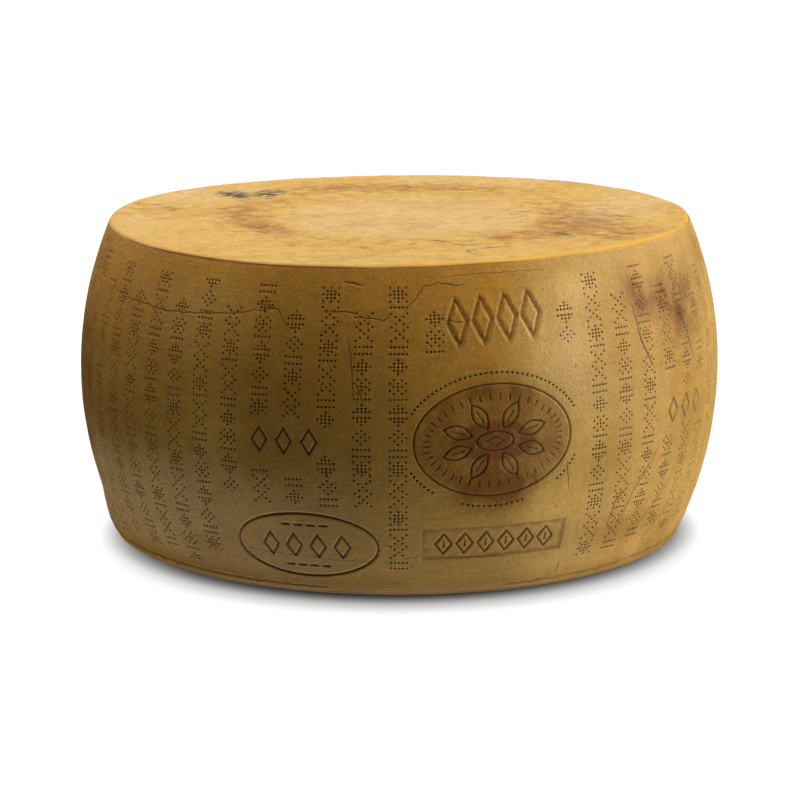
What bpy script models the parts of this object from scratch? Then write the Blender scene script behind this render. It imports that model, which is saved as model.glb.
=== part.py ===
"""A whole, uncut wheel of hard cheese, standing flat on one of its faces.

The wheel is one closed solid: a squat barrel with a flat foot, a low rim round its upper face,
a fine ledge just above the floor and marks pressed into its side. Lengths are in metres, +Z is
up and the origin is the middle of the foot. Angles run round the wheel in degrees, from 0 at
the front (-Y) towards +X.
"""

import math

import bmesh
import bpy
from mathutils import Vector
from mathutils.geometry import delaunay_2d_cdt

# The barrel
WHEEL_HEIGHT = 0.223
BULGE_RADIUS = 0.225
BULGE_HEIGHT = 0.117
SIDE_ARC_RADIUS = 0.264
TOP_EDGE_RADIUS = 0.0040
BOTTOM_EDGE_RADIUS = 0.0045
LEDGE_DEPTH = 0.0008

# The upper face lies a little below its rim
FACE_SINK = 0.0014
RIM_WIDTH = 0.016
FACE_RINGS = (0.150, 0.100, 0.045)
FOOT_RINGS = (0.140, 0.060)

# Slow unevenness of a hand-turned wheel: waves round the wheel, amplitude and first crest,
# and a lean that carries the top sideways towards an angle and the foot the other way
SIDE_WAVES = ((2, 0.0003, 44.0), (3, 0.0010, 24.0))
RIM_WAVES = ((1, 0.0003, 90.0), (2, 0.0013, 66.0), (3, 0.0007, 22.0))
LEAN = 0.0006
LEAN_ANGLE = 88.0

# Mesh density
COLUMNS = 90
ROWS = 14
EDGE_STEPS = 4
OVAL_STEPS = 44
LENS_STEPS = 4
MARK_STEP = 0.009
MARK_CLEARANCE = 0.0035
WELD_DISTANCE = 0.00001
CDT_TOLERANCE = 0.0000001
SMOOTH_ANGLE = 40.0

# Pressed marks: place on the side as angle and height, then width and height of the mark
SEAL_PLACE = (15.6, 0.109)
SEAL_SIZE = (0.107, 0.0745)
PETAL_SIZE = (0.0190, 0.0090)
PETAL_COUNT = 8
PETAL_REACH = (0.0270, 0.0175)

FIGURES_PLACE = (16.2, 0.1875)
FIGURES_TILT = 3.0
FIGURE_SIZE = (0.0125, 0.0300)
FIGURE_PITCH = 0.0165
FIGURE_COUNT = 4
FIGURE_VEIN = 0.0110

SMALL_OVAL_PLACE = (-17.2, 0.0366)
SMALL_OVAL_SIZE = (0.0975, 0.0477)
GRAIN_SIZE = (0.0105, 0.0170)
GRAIN_PITCH = 0.0165
GRAIN_COUNT = 4

PLATE_PLACE = (16.8, 0.0389)
PLATE_SIZE = (0.0990, 0.0245)
PLATE_DEPTH = 0.0006
PLATE_BEVEL = 0.0012
PLATE_FIGURE_SIZE = (0.0110, 0.0150)
PLATE_PITCH = 0.0140
PLATE_COUNT = 6

TRIPLE_HEIGHT = 0.1095
TRIPLE_FIRST_ANGLE = -98.9
TRIPLE_STEP = 78.9
TRIPLE_COUNT = 5
TRIPLE_SIZE = (0.0105, 0.0165)
TRIPLE_PITCH = 0.0175

# Half width and depth of the pressed lines
THIN_GROOVE = (0.0011, 0.0009)
BOLD_GROOVE = (0.0016, 0.0015)

RIND_COLOUR = (0.50, 0.33, 0.11, 1.0)
RIND_ROUGHNESS = 0.5


def waves(angle, table):
    """Sum of the slow waves of a table at an angle in degrees."""
    total = 0.0
    for count, height, crest in table:
        total += height * math.cos(count * math.radians(angle - crest))
    return total


def side_radius(along):
    """Radius of the side at a distance along its arc, measured up from the bulge."""
    return BULGE_RADIUS - SIDE_ARC_RADIUS * (1.0 - math.cos(along / SIDE_ARC_RADIUS))


def side_height(along):
    return BULGE_HEIGHT + SIDE_ARC_RADIUS * math.sin(along / SIDE_ARC_RADIUS)


def along_at(height):
    """Distance along the side's arc for a height above the floor."""
    return SIDE_ARC_RADIUS * math.asin((height - BULGE_HEIGHT) / SIDE_ARC_RADIUS)


def heading(angle):
    """Direction out from the axis at an angle in degrees."""
    return Vector((math.sin(math.radians(angle)), -math.cos(math.radians(angle)), 0.0))


def wheel_point(angle, radius, height):
    """A point of the wheel, with the slow unevenness. The foot stays flat."""
    share = height / WHEEL_HEIGHT
    swelling = waves(angle, SIDE_WAVES) * radius / BULGE_RADIUS
    lift = waves(angle, RIM_WAVES) * share * radius / BULGE_RADIUS
    shift = heading(LEAN_ANGLE) * LEAN * (2.0 * share - 1.0)
    return heading(angle) * (radius + swelling) + shift + Vector((0.0, 0.0, height + lift))


def edge_fillet(face_height, edge_radius, arc_radius, up):
    """Section points of the round between the side's arc and a face, from the side inwards."""
    arc_axis = BULGE_RADIUS - SIDE_ARC_RADIUS
    centre_height = face_height - up * edge_radius
    start = math.asin((centre_height - BULGE_HEIGHT) / (arc_radius - edge_radius))
    centre_radius = arc_axis + (arc_radius - edge_radius) * math.cos(start)
    end = up * math.pi / 2.0
    points = []
    for step in range(EDGE_STEPS + 1):
        turn = start + (end - start) * step / EDGE_STEPS
        radius = centre_radius + edge_radius * math.cos(turn)
        height = centre_height + edge_radius * math.sin(turn)
        points.append((radius, height))
    return points


def top_section():
    """Section of the upper face, from the side inwards: the rim, its slope and the flat."""
    points = edge_fillet(WHEEL_HEIGHT, TOP_EDGE_RADIUS, SIDE_ARC_RADIUS, 1.0)
    crest = points[-1][0]
    face = WHEEL_HEIGHT - FACE_SINK
    points.append((crest - RIM_WIDTH / 2.0, WHEEL_HEIGHT - FACE_SINK / 2.0))
    points.append((crest - RIM_WIDTH, face))
    points.extend((radius, face) for radius in FACE_RINGS)
    return points


def bottom_section():
    """Section of the foot, from the side inwards: the round below the ledge and the flat."""
    points = edge_fillet(0.0, BOTTOM_EDGE_RADIUS, SIDE_ARC_RADIUS - LEDGE_DEPTH, -1.0)
    points.extend((radius, 0.0) for radius in FOOT_RINGS)
    return points


def oval(width, height):
    turns = [2.0 * math.pi * step / OVAL_STEPS for step in range(OVAL_STEPS)]
    return [(width / 2.0 * math.cos(turn), height / 2.0 * math.sin(turn)) for turn in turns]


def lozenge(width, height):
    return [(width / 2.0, 0.0), (0.0, height / 2.0), (-width / 2.0, 0.0), (0.0, -height / 2.0)]


def lens(length, width):
    """A pointed oval that lies along X."""
    upper = []
    for step in range(LENS_STEPS):
        share = 1.0 - 2.0 * step / LENS_STEPS
        upper.append((length / 2.0 * share, width / 2.0 * (1.0 - share * share)))
    return upper + [(-x, -y) for x, y in upper]


def moved(points, shift, tilt=0.0):
    """Points turned by a tilt in degrees about their own origin and then shifted."""
    cosine = math.cos(math.radians(tilt))
    sine = math.sin(math.radians(tilt))
    return [(x * cosine - y * sine + shift[0], x * sine + y * cosine + shift[1]) for x, y in points]


def row_offsets(count, pitch):
    return [(index - (count - 1) / 2.0) * pitch for index in range(count)]


def subdivided(points, closed):
    """The same line with no step longer than MARK_STEP, so that it follows the round side."""
    ends = points[1:] + points[:1] if closed else points[1:]
    line = []
    for start, end in zip(points, ends):
        pieces = math.ceil((end - start).length / MARK_STEP)
        line.extend(start.lerp(end, piece / pieces) for piece in range(pieces))
    return line if closed else line + [points[-1]]


class Groove:
    """A pressed line on the unrolled side, with its own width and depth."""

    def __init__(self, place, points, size, closed=True):
        angle, height = place
        self.half_width, self.depth = size
        self.closed = closed
        row = along_at(height)
        stretch = BULGE_RADIUS / side_radius(row)
        column = BULGE_RADIUS * math.radians(angle)
        corners = [Vector((column + x * stretch, row + y)) for x, y in points]
        self.points = subdivided(corners, closed)

    def segments(self):
        ends = self.points[1:] + self.points[:1] if self.closed else self.points[1:]
        return list(zip(self.points, ends))

    def side_line(self, side):
        """The line offset to one side, mitred at its corners."""
        count = len(self.points)
        line = []
        for index, point in enumerate(self.points):
            before = self.points[index - 1] if index or self.closed else point
            after = self.points[(index + 1) % count] if self.closed or index < count - 1 else point
            directions = [way.normalized() for way in (point - before, after - point) if way.length]
            normals = [Vector((-way.y, way.x)) for way in directions]
            mean = sum(normals, Vector((0.0, 0.0))).normalized()
            reach = self.half_width / max(mean.dot(normals[0]), 0.5)
            line.append(point + mean * side * reach)
        return line

    def loops(self):
        """Lines that the mesh follows: the rim on each side and the bottom of the groove."""
        left = self.side_line(1.0)
        right = self.side_line(-1.0)
        if self.closed:
            return [(left, True), (right, True), (self.points, True)]
        head = self.points[0] - (self.points[1] - self.points[0]).normalized() * self.half_width
        tail = self.points[-1] + (self.points[-1] - self.points[-2]).normalized() * self.half_width
        return [([head] + left + [tail] + right[::-1], True), (self.points, False)]

    def distance(self, spot):
        return min(distance_to_segment(spot, start, end) for start, end in self.segments())

    def depth_at(self, spot):
        return self.depth * max(0.0, 1.0 - self.distance(spot) / self.half_width)


class Plate:
    """A shallow rectangular recess with bevelled edges on the unrolled side."""

    def __init__(self, place, size, depth, bevel):
        angle, height = place
        row = along_at(height)
        stretch = BULGE_RADIUS / side_radius(row)
        self.middle = Vector((BULGE_RADIUS * math.radians(angle), row))
        self.half = Vector((size[0] / 2.0 * stretch, size[1] / 2.0))
        self.depth = depth
        self.bevel = bevel

    def corners(self, inset):
        wide = self.half.x - inset
        tall = self.half.y - inset
        ways = ((1, 1), (-1, 1), (-1, -1), (1, -1))
        return [self.middle + Vector((x * wide, y * tall)) for x, y in ways]

    def loops(self):
        return [(subdivided(self.corners(inset), True), True) for inset in (0.0, self.bevel)]

    def inside(self, spot):
        """How far a spot lies inside the plate's edge."""
        offset = spot - self.middle
        return min(self.half.x - abs(offset.x), self.half.y - abs(offset.y))

    def distance(self, spot):
        """Distance to the plate's bevelled edge, a little more than true past a corner."""
        return abs(self.inside(spot) - self.bevel / 2.0)

    def depth_at(self, spot):
        return self.depth * min(1.0, max(0.0, self.inside(spot) / self.bevel))


def distance_to_segment(spot, start, end):
    way = end - start
    share = max(0.0, min(1.0, (spot - start).dot(way) / way.length_squared))
    return (spot - start - way * share).length


def seal_marks():
    """A large oval line round a rosette of petals."""
    marks = [Groove(SEAL_PLACE, oval(*SEAL_SIZE), THIN_GROOVE)]
    for index in range(PETAL_COUNT):
        turn = 2.0 * math.pi * (index + 0.5) / PETAL_COUNT
        middle = (PETAL_REACH[0] * math.cos(turn), PETAL_REACH[1] * math.sin(turn))
        tilt = math.degrees(math.atan2(middle[1], middle[0]))
        marks.append(Groove(SEAL_PLACE, moved(lens(*PETAL_SIZE), middle, tilt), THIN_GROOVE))
    return marks


def figure_marks():
    """Tall lozenges in a row that rises a little, each with a short line in it."""
    vein = [(0.0, -FIGURE_VEIN / 2.0), (0.0, FIGURE_VEIN / 2.0)]
    marks = []
    for offset in row_offsets(FIGURE_COUNT, FIGURE_PITCH):
        middle = moved([(offset, 0.0)], (0.0, 0.0), FIGURES_TILT)[0]
        marks.append(Groove(FIGURES_PLACE, moved(lozenge(*FIGURE_SIZE), middle, FIGURES_TILT), BOLD_GROOVE))
        marks.append(Groove(FIGURES_PLACE, moved(vein, middle, FIGURES_TILT), THIN_GROOVE, closed=False))
    return marks


def small_oval_marks():
    """A flatter oval line low on the side, round a row of upright grains."""
    marks = [Groove(SMALL_OVAL_PLACE, oval(*SMALL_OVAL_SIZE), THIN_GROOVE)]
    for offset in row_offsets(GRAIN_COUNT, GRAIN_PITCH):
        grain = moved(lozenge(*GRAIN_SIZE), (offset, 0.0))
        marks.append(Groove(SMALL_OVAL_PLACE, grain, THIN_GROOVE))
    return marks


def plate_marks():
    """A shallow plate with a row of lozenges pressed into it."""
    marks = [Plate(PLATE_PLACE, PLATE_SIZE, PLATE_DEPTH, PLATE_BEVEL)]
    for offset in row_offsets(PLATE_COUNT, PLATE_PITCH):
        figure = moved(lozenge(*PLATE_FIGURE_SIZE), (offset, 0.0))
        marks.append(Groove(PLATE_PLACE, figure, THIN_GROOVE))
    return marks


def triple_marks():
    """Groups of three small lozenges, repeated round the wheel."""
    marks = []
    for group in range(TRIPLE_COUNT):
        angle = (TRIPLE_FIRST_ANGLE + group * TRIPLE_STEP + 180.0) % 360.0 - 180.0
        for offset in row_offsets(3, TRIPLE_PITCH):
            figure = moved(lozenge(*TRIPLE_SIZE), (offset, 0.0))
            marks.append(Groove((angle, TRIPLE_HEIGHT), figure, THIN_GROOVE))
    return marks


def unrolled_side(marks, low, high):
    """Triangles of the side, unrolled flat: a lattice that gives way to the marks' own lines."""
    spots = []
    edges = []
    half_round = math.pi * BULGE_RADIUS
    for row in range(ROWS + 1):
        for column in range(COLUMNS + 1):
            spot = Vector((half_round * (2.0 * column / COLUMNS - 1.0), low + (high - low) * row / ROWS))
            border = row in (0, ROWS) or column in (0, COLUMNS)
            if border or all(mark.distance(spot) > MARK_CLEARANCE for mark in marks):
                spots.append(spot)
    for mark in marks:
        for line, closed in mark.loops():
            first = len(spots)
            spots.extend(line)
            last = len(spots) - 1
            edges.extend((index, index + 1) for index in range(first, last))
            if closed:
                edges.append((last, first))
    flat, _, triangles, _, _, _ = delaunay_2d_cdt(spots, edges, [], 0, CDT_TOLERANCE)
    return flat, triangles


def add_side(mesh, marks, low, high):
    flat, triangles = unrolled_side(marks, low, high)
    corners = []
    for spot in flat:
        depth = sum(mark.depth_at(spot) for mark in marks)
        angle = math.degrees(spot.x / BULGE_RADIUS)
        corners.append(mesh.verts.new(wheel_point(angle, side_radius(spot.y) - depth, side_height(spot.y))))
    for triangle in triangles:
        mesh.faces.new([corners[index] for index in triangle])


def add_turned(mesh, section, up):
    """Rings of faces for a section that runs from the side in to the axis, closed by a fan."""
    rings = []
    for radius, height in section:
        angles = [360.0 * column / COLUMNS - 180.0 for column in range(COLUMNS)]
        rings.append([mesh.verts.new(wheel_point(angle, radius, height)) for angle in angles])
    middle = mesh.verts.new(wheel_point(0.0, 0.0, section[-1][1]))
    for outer, inner in zip(rings, rings[1:]):
        for column in range(COLUMNS):
            after = (column + 1) % COLUMNS
            ring = [outer[column], outer[after], inner[after], inner[column]]
            mesh.faces.new(ring if up else ring[::-1])
    for column in range(COLUMNS):
        fan = [rings[-1][column], rings[-1][(column + 1) % COLUMNS], middle]
        mesh.faces.new(fan if up else fan[::-1])


def centre_on_axis(mesh):
    """Shift the wheel sideways so that the box round it is centred on the Z axis."""
    for axis in (0, 1):
        values = [corner.co[axis] for corner in mesh.verts]
        shift = (min(values) + max(values)) / 2.0
        for corner in mesh.verts:
            corner.co[axis] -= shift


def rind_material():
    material = bpy.data.materials.new("rind")
    material.use_nodes = True
    shader = material.node_tree.nodes["Principled BSDF"]
    shader.inputs["Base Color"].default_value = RIND_COLOUR
    shader.inputs["Roughness"].default_value = RIND_ROUGHNESS
    shader.inputs["Metallic"].default_value = 0.0
    return material


def build_wheel():
    marks = seal_marks() + figure_marks() + small_oval_marks() + plate_marks() + triple_marks()
    top = top_section()
    bottom = bottom_section()
    high = along_at(top[0][1])
    low = along_at(bottom[0][1])
    ledge = (side_radius(low), side_height(low))
    mesh = bmesh.new()
    add_side(mesh, marks, low, high)
    add_turned(mesh, top, up=True)
    add_turned(mesh, [ledge] + bottom, up=False)
    bmesh.ops.remove_doubles(mesh, verts=mesh.verts, dist=WELD_DISTANCE)
    bmesh.ops.recalc_face_normals(mesh, faces=mesh.faces)
    centre_on_axis(mesh)
    data = bpy.data.meshes.new("cheese_wheel")
    mesh.to_mesh(data)
    mesh.free()
    data.shade_smooth()
    data.set_sharp_from_angle(angle=math.radians(SMOOTH_ANGLE))
    data.materials.append(rind_material())
    wheel = bpy.data.objects.new("cheese_wheel", data)
    bpy.context.scene.collection.objects.link(wheel)


for leftover in list(bpy.data.objects):
    bpy.data.objects.remove(leftover, do_unlink=True)
build_wheel()
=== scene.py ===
"""Looks of a whole, uncut wheel of hard cheese: its rind with pressed marks, pins, cracks and stains.

Lengths are in metres, +Z is up. Places on the side are an angle in degrees, from 0 at the front
(-Y) towards +X, and a height above the floor. The side is meshed on its unrolled plane: u runs
round the wheel at the bulge's radius, v runs up along the side's arc.
"""

import math
import random

import bmesh
import bpy
import numpy as np
from mathutils import Matrix, Vector, noise
from mathutils.geometry import delaunay_2d_cdt
from mathutils.kdtree import KDTree


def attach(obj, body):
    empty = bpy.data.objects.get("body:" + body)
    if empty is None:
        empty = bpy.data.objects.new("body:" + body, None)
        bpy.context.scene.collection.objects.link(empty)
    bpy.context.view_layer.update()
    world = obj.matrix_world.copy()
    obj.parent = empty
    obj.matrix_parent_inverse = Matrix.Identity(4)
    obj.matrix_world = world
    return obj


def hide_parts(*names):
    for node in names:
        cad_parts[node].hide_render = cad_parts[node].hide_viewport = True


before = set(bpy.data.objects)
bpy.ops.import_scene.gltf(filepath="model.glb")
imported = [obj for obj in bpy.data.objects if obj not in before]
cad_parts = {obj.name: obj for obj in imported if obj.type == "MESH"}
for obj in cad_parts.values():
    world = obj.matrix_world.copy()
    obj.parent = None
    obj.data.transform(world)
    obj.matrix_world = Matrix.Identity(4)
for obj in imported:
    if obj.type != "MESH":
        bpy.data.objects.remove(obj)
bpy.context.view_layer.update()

# The wheel, as the frame has it
WHEEL_HEIGHT = 0.223
BULGE_RADIUS = 0.225
BULGE_HEIGHT = 0.117
SIDE_ARC_RADIUS = 0.264
TOP_EDGE_RADIUS = 0.0040
BOTTOM_EDGE_RADIUS = 0.0045
LEDGE_DEPTH = 0.0008
FACE_SINK = 0.0014
RIM_WIDTH = 0.016
SIDE_WAVES = ((2, 0.0003, 44.0), (3, 0.0010, 24.0))
RIM_WAVES = ((1, 0.0003, 90.0), (2, 0.0013, 66.0), (3, 0.0007, 22.0))
LEAN = 0.0006
LEAN_ANGLE = 88.0

# The fuller foot of the left side: middle and half width in degrees, how far it stands out, middle
# and half height, and the radii between which it fades in under the foot
SWELL_ANGLES = (-84.0, 40.0)
SWELL_REACH = 0.0036
SWELL_HEIGHTS = (0.011, 0.028)
SWELL_RADII = (0.150, 0.195)

# Mesh density. The seam of the unrolled side runs between two columns of pins.
SEAM_ANGLE = -183.5
COLUMNS = 300
LATTICE_STEP = 0.0065
LENS_STEPS = 8
SLOPE_STEPS = 4
FACE_STEP = 0.0065
FOOT_STEP = 0.0250
EDGE_STEPS = 8
LINE_STEP = 0.0022
OVAL_STEP = 0.0026
WELD_DISTANCE = 0.00001
CDT_TOLERANCE = 0.0000001

# Shares of a step on the discs: between their rows, and kept free inside their edge
ROW_SHARE = 0.866
DISC_MARGIN = 0.6

# Guard spots beside a line, in its half widths: how far off, and how clear of other lines
GUARD_REACH = 2.0
GUARD_CLEARANCE = 0.8
MITRE_LIMITS = (0.001, 0.5)

# Unevenness of the rind: wavelength and height of each layer of noise, and where it calms down
RIND_NOISE = ((0.070, 0.00050), (0.022, 0.00022), (0.009, 0.00010))
FACE_NOISE = ((0.090, 0.00060), (0.030, 0.00035), (0.013, 0.00012))
EDGE_NOISE = ((0.032, 0.00040), (0.011, 0.00020))
LAYER_OFFSETS = (3.7, 1.3, 0.7)
SIDE_SEED = 11.0
DISC_SEED = 23.0
EDGE_LIFT_SEED = 31.0
EDGE_REACH_SEED = 37.0
SIDE_CALM = 0.010
DISC_CALM = 0.020

# Pins: small pits in upright columns of plain motifs
PIN_COLUMNS = 60
PIN_FIRST_ANGLE = -0.5
PIN_ACROSS = 0.00260
PIN_ALONG = 0.00225
PIN_RADIUS = 0.00106
PIN_DEPTH = 0.00095
PIN_LIP = 0.00011
PIN_SIDES = 5
PIN_JITTER = 0.00005
PIN_SEED = 7
PIN_PATCH_LENGTH = 0.035
PIN_STRENGTH = (0.82, 0.30, 0.12)
PIN_RADIUS_SHARES = (0.90, 0.15)
PIN_LEAST_DEPTH = 0.35
PIN_CLEARANCE = 0.0019
MOTIF_GAP = 1.7
COLUMN_TOP = 0.209
COLUMN_STAGGER = (0.0, 0.0155)
COLUMN_FOOT = 0.0145
COLUMN_FOOT_PLAY = 0.006
COLUMN_WARP = 0.0016
COLUMN_WARP_SHARE = 0.4
COLUMN_WARP_LENGTH = 0.045
COLUMN_MOTIF_STEP = 4

# Pressed marks: place on the side, width and height, and for a row its count and pitch
SEAL_PLACE = (15.6, 0.109)
SEAL_SIZE = (0.107, 0.0745)
PETAL_SIZE = (0.0190, 0.0090)
PETAL_COUNT = 8
PETAL_VEIN = 0.45
PETAL_REACH = (0.0270, 0.0175)
TICK_COUNT = 44
TICK_LENGTH = 0.0042
TICK_INSET = 0.0062
SEAL_KNOT_SIZE = (0.0120, 0.0064)
SEAL_HEART_SIZE = (0.0250, 0.0125)
ARC_INSET = -0.0075
ARC_STRETCHES = ((24.0, 153.0), (206.0, 228.0), (250.0, 290.0), (318.0, 340.0))
ARC_PIN_STEP = 0.0031
ARC_PIN_SIZE = (0.00115, 0.00100)

FIGURES_PLACE = (16.2, 0.1875)
FIGURES_TILT = 3.0
FIGURE_SIZE = (0.0125, 0.0300)
FIGURE_ROW = (4, 0.0165)

SMALL_OVAL_PLACE = (-17.2, 0.0366)
SMALL_OVAL_SIZE = (0.0975, 0.0477)
GRAIN_SIZE = (0.0105, 0.0170)
GRAIN_ROW = (4, 0.0165)
DASH_HEIGHTS = (0.0155, -0.0155)
DASH_LENGTH = 0.0055
DASH_ROW = (4, 0.0085)

PLATE_PLACE = (16.8, 0.0389)
PLATE_SIZE = (0.0990, 0.0245)
PLATE_DEPTH = 0.0006
PLATE_BEVEL = 0.0012
PLATE_FIGURE_SIZE = (0.0110, 0.0150)
PLATE_ROW = (6, 0.0140)
PLATE_VEIN = 0.0050

TRIPLE_HEIGHT = 0.1095
TRIPLE_FIRST_ANGLE = -98.9
TRIPLE_STEP = 78.9
TRIPLE_COUNT = 5
TRIPLE_SIZE = (0.0105, 0.0165)
TRIPLE_ROW = (3, 0.0175)

# Half width, depth and raised lip of the pressed lines
THIN_GROOVE = (0.00085, 0.00090, 0.00010)
MEDIUM_GROOVE = (0.00110, 0.00100, 0.00012)
BOLD_GROOVE = (0.00190, 0.00130, 0.00028)
FINE_GROOVE = (0.00060, 0.00060, 0.00006)

# Half width, depth and raised lip of cracks, wrinkles and seams, and of the line along the foot's ledge,
# darkened as its painted shadow
HAIR_CRACK = (0.00058, 0.00036, 0.0)
OPEN_CRACK = (0.00080, 0.00045, 0.0)
SEAM_CRACK = (0.00035, 0.00012, 0.0)
WRINKLE = (0.00110, 0.00055, 0.00025)
FOOT_LEDGE_SHADOW_LINE = (0.00110, 0.00050, 0.00015)

# The cracks of the sides and the back, and how crooked every crack runs
BACK_CRACKS = 9
BACK_CRACK_START = 76.0
BACK_CRACK_END = 168.0
BACK_CRACK_HEIGHTS = (0.050, 0.185)
BACK_CRACK_REACH = (0.005, 0.020)
BACK_CRACK_BEND = 0.25
BACK_CRACK_SEED = 3
CRACK_STEP = 0.0016
CRACK_WANDER = 0.0011
CRACK_WANDER_LENGTH = 0.006
CRACK_OFFSET = (7.0, 3.0, 1.0)
CRACK_TAPER = (0.25, 0.75, 0.6)

# The cracks, scratches and wrinkles that the front shows: size, kind, and angle and height of each corner
CRACKS = (
    (HAIR_CRACK, "crack",
     ((-66.0, 0.190), (-59.8, 0.1863), (-44.1, 0.1851), (-31.6, 0.1894), (-22.1, 0.1952))),
    (HAIR_CRACK, "crack", ((-25.9, 0.198), (-22.0, 0.194), (-19.8, 0.1819))),
    (HAIR_CRACK, "crack",
     ((-13.7, 0.1942), (-8.4, 0.1941), (-7.9, 0.1904), (-3.0, 0.1894), (-1.7, 0.1937))),
    (OPEN_CRACK, "scratch", ((-10.5, 0.213), (-8.5, 0.2126), (-7.0, 0.2102))),
    (HAIR_CRACK, "crack", ((0.1, 0.1925), (2.9, 0.2041), (4.0, 0.2095), (6.5, 0.2112), (9.0, 0.2091))),
    (HAIR_CRACK, "crack", ((6.9, 0.2111), (9.9, 0.209), (11.6, 0.2100))),
    (HAIR_CRACK, "crack", ((7.3, 0.1882), (9.5, 0.1867), (11.3, 0.1865))),
    (OPEN_CRACK, "scratch", ((44.7, 0.1861), (45.2, 0.1747), (45.9, 0.1599), (48.5, 0.1417))),
    (OPEN_CRACK, "scratch", ((56.9, 0.1881), (58.2, 0.1767), (60.7, 0.1575), (62.5, 0.1378))),
    (WRINKLE, "crease_and_shade", ((39.5, 0.0384), (40.7, 0.0557), (44.2, 0.0675))),
    (WRINKLE, "crease_and_shade", ((42.4, 0.0393), (45.1, 0.0612), (48.5, 0.0772), (51.9, 0.0937))),
    (WRINKLE, "crease_and_shade", ((46.5, 0.026), (50.6, 0.0391), (55.2, 0.0565), (57.4, 0.0705))),
    (WRINKLE, "crease_and_shade", ((51.1, 0.0158), (55.1, 0.0311), (58.7, 0.0391))),
    (HAIR_CRACK, "crack", ((-9.3, 0.1791), (-8.4, 0.1634), (-8.0, 0.1391))),
    (HAIR_CRACK, "crack", ((28.8, 0.0898), (29.6, 0.0699))),
    (HAIR_CRACK, "crack", ((30.1, 0.0090), (30.3, 0.0187))),
    (HAIR_CRACK, "crack", ((-7.5, 0.1476), (-6.6, 0.138))),
    (SEAM_CRACK, "crack", ((4.0, 0.2150), (16.0, 0.2158), (27.0, 0.2153))),
    (SEAM_CRACK, "crack", ((-30.9, 0.0313), (-18.5, 0.0282), (-3.8, 0.0263))),
    (SEAM_CRACK, "crack", ((-3.8, 0.0263), (3.3, 0.0306), (20.0, 0.0266))),
    # Lines along the foot's ledge, darkened as its painted shadow
    (FOOT_LEDGE_SHADOW_LINE, "crease_and_shade", ((-78.0, 0.0082), (-56.0, 0.0074), (-34.0, 0.0062), (-14.0, 0.0056))),
    (FOOT_LEDGE_SHADOW_LINE, "crease_and_shade", ((20.0, 0.0056), (38.0, 0.0064), (56.0, 0.0078), (74.0, 0.0086))),
    (FOOT_LEDGE_SHADOW_LINE, "crease_and_shade", ((98.0, 0.0080), (116.0, 0.0070), (138.0, 0.0062))),
    (FOOT_LEDGE_SHADOW_LINE, "crease_and_shade", ((-172.0, 0.0066), (-150.0, 0.0074), (-122.0, 0.0080))),
)

# The foot: painted shade where it meets the floor, and above that more painted shade, as a browner and
# less tan rind
CONTACT_SHADE = 0.3
CONTACT_DARK = (0.0001, 0.0022)
FOOT_SHADE_BROWN = 0.30
FOOT_SHADE_FALL = (0.003, 0.019)
FOOT_SHADE_TONE = 0.60
ASHEN_FOOT = (0.006, 0.026)

# Creases of the rounded edges, on two of their rings, pressed in a little and darkened as painted shadow
# lines: middle and half length in degrees, and strength
CREASE_DEPTH = 0.0002
CREASE_RINGS = (1, 2)
CREASE_FULL = 0.3
FOOT_CREASE_SHADOW = 0.8
RIM_CREASE_SHADOWS = ((-36.0, 42.0, 1.00), (12.0, 22.0, 0.35), (96.0, 26.0, 0.60), (-150.0, 34.0, 0.70))

# Colour of the rind's parts, and of what lies in its marks, and of the painted sheen, glints, highlight
# and shade
DEEP_RIND = (0.47, 0.250, 0.036)
AMBER_RIND = (0.78, 0.335, 0.028)
# the tan painted as light on the side's right
TAN_PAINTED_LIGHT_RIND = (0.71, 0.415, 0.110)
ASHEN_RIND = (0.85, 0.525, 0.220)
# painted sheen of the side's lighter places
PAINTED_SHEEN_RIND = (0.93, 0.540, 0.120)
DRY_RIND = (0.62, 0.470, 0.300)
WARM_RIND = (0.62, 0.290, 0.040)
# brown of stains and dabs, also laid as painted shade towards the floor
BROWN_STAIN_AND_SHADE = (0.27, 0.100, 0.010)
PALE_SPECK = (0.86, 0.62, 0.30)
# dark of the pins, also used for the painted shade where the foot meets the floor
PIN_AND_CONTACT_SHADE_COLOUR = (0.045, 0.026, 0.015)
# dark of pressed lines, and the painted shade in creases and grooves
LINE_AND_CREASE_SHADE_COLOUR = (0.120, 0.060, 0.034)
# dark of cracks, and of the creases of the edges painted as shadow lines
CRACK_AND_SHADOW_LINE_COLOUR = (0.140, 0.085, 0.060)
SCRATCH_COLOUR = (0.095, 0.088, 0.086)
FACE_GOLD = (0.750, 0.463, 0.128)
FACE_PALE = (0.752, 0.495, 0.195)
FACE_BLOOM = (0.770, 0.540, 0.310)
FACE_ORANGE = (0.57, 0.300, 0.082)
FACE_STAIN = (0.34, 0.155, 0.060)
# painted glints of the upper face
PAINTED_GLINT_COLOUR = (0.870, 0.600, 0.180)
# gold of the rim, stronger in stretches as painted highlight
RIM_GOLD = (0.88, 0.460, 0.035)
BLUE_INK = (0.050, 0.060, 0.055)
GREEN_INK = (0.060, 0.190, 0.090)

# The vertex attributes that the shader reads
MARK_KINDS = ("pit_and_contact_shade", "press", "crease_and_shade", "crack", "scratch")
TINTS = MARK_KINDS + ("face", "rim", "stain_and_shade", "painted_sheen_and_gloss", "tone", "amber", "ashen")
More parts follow.
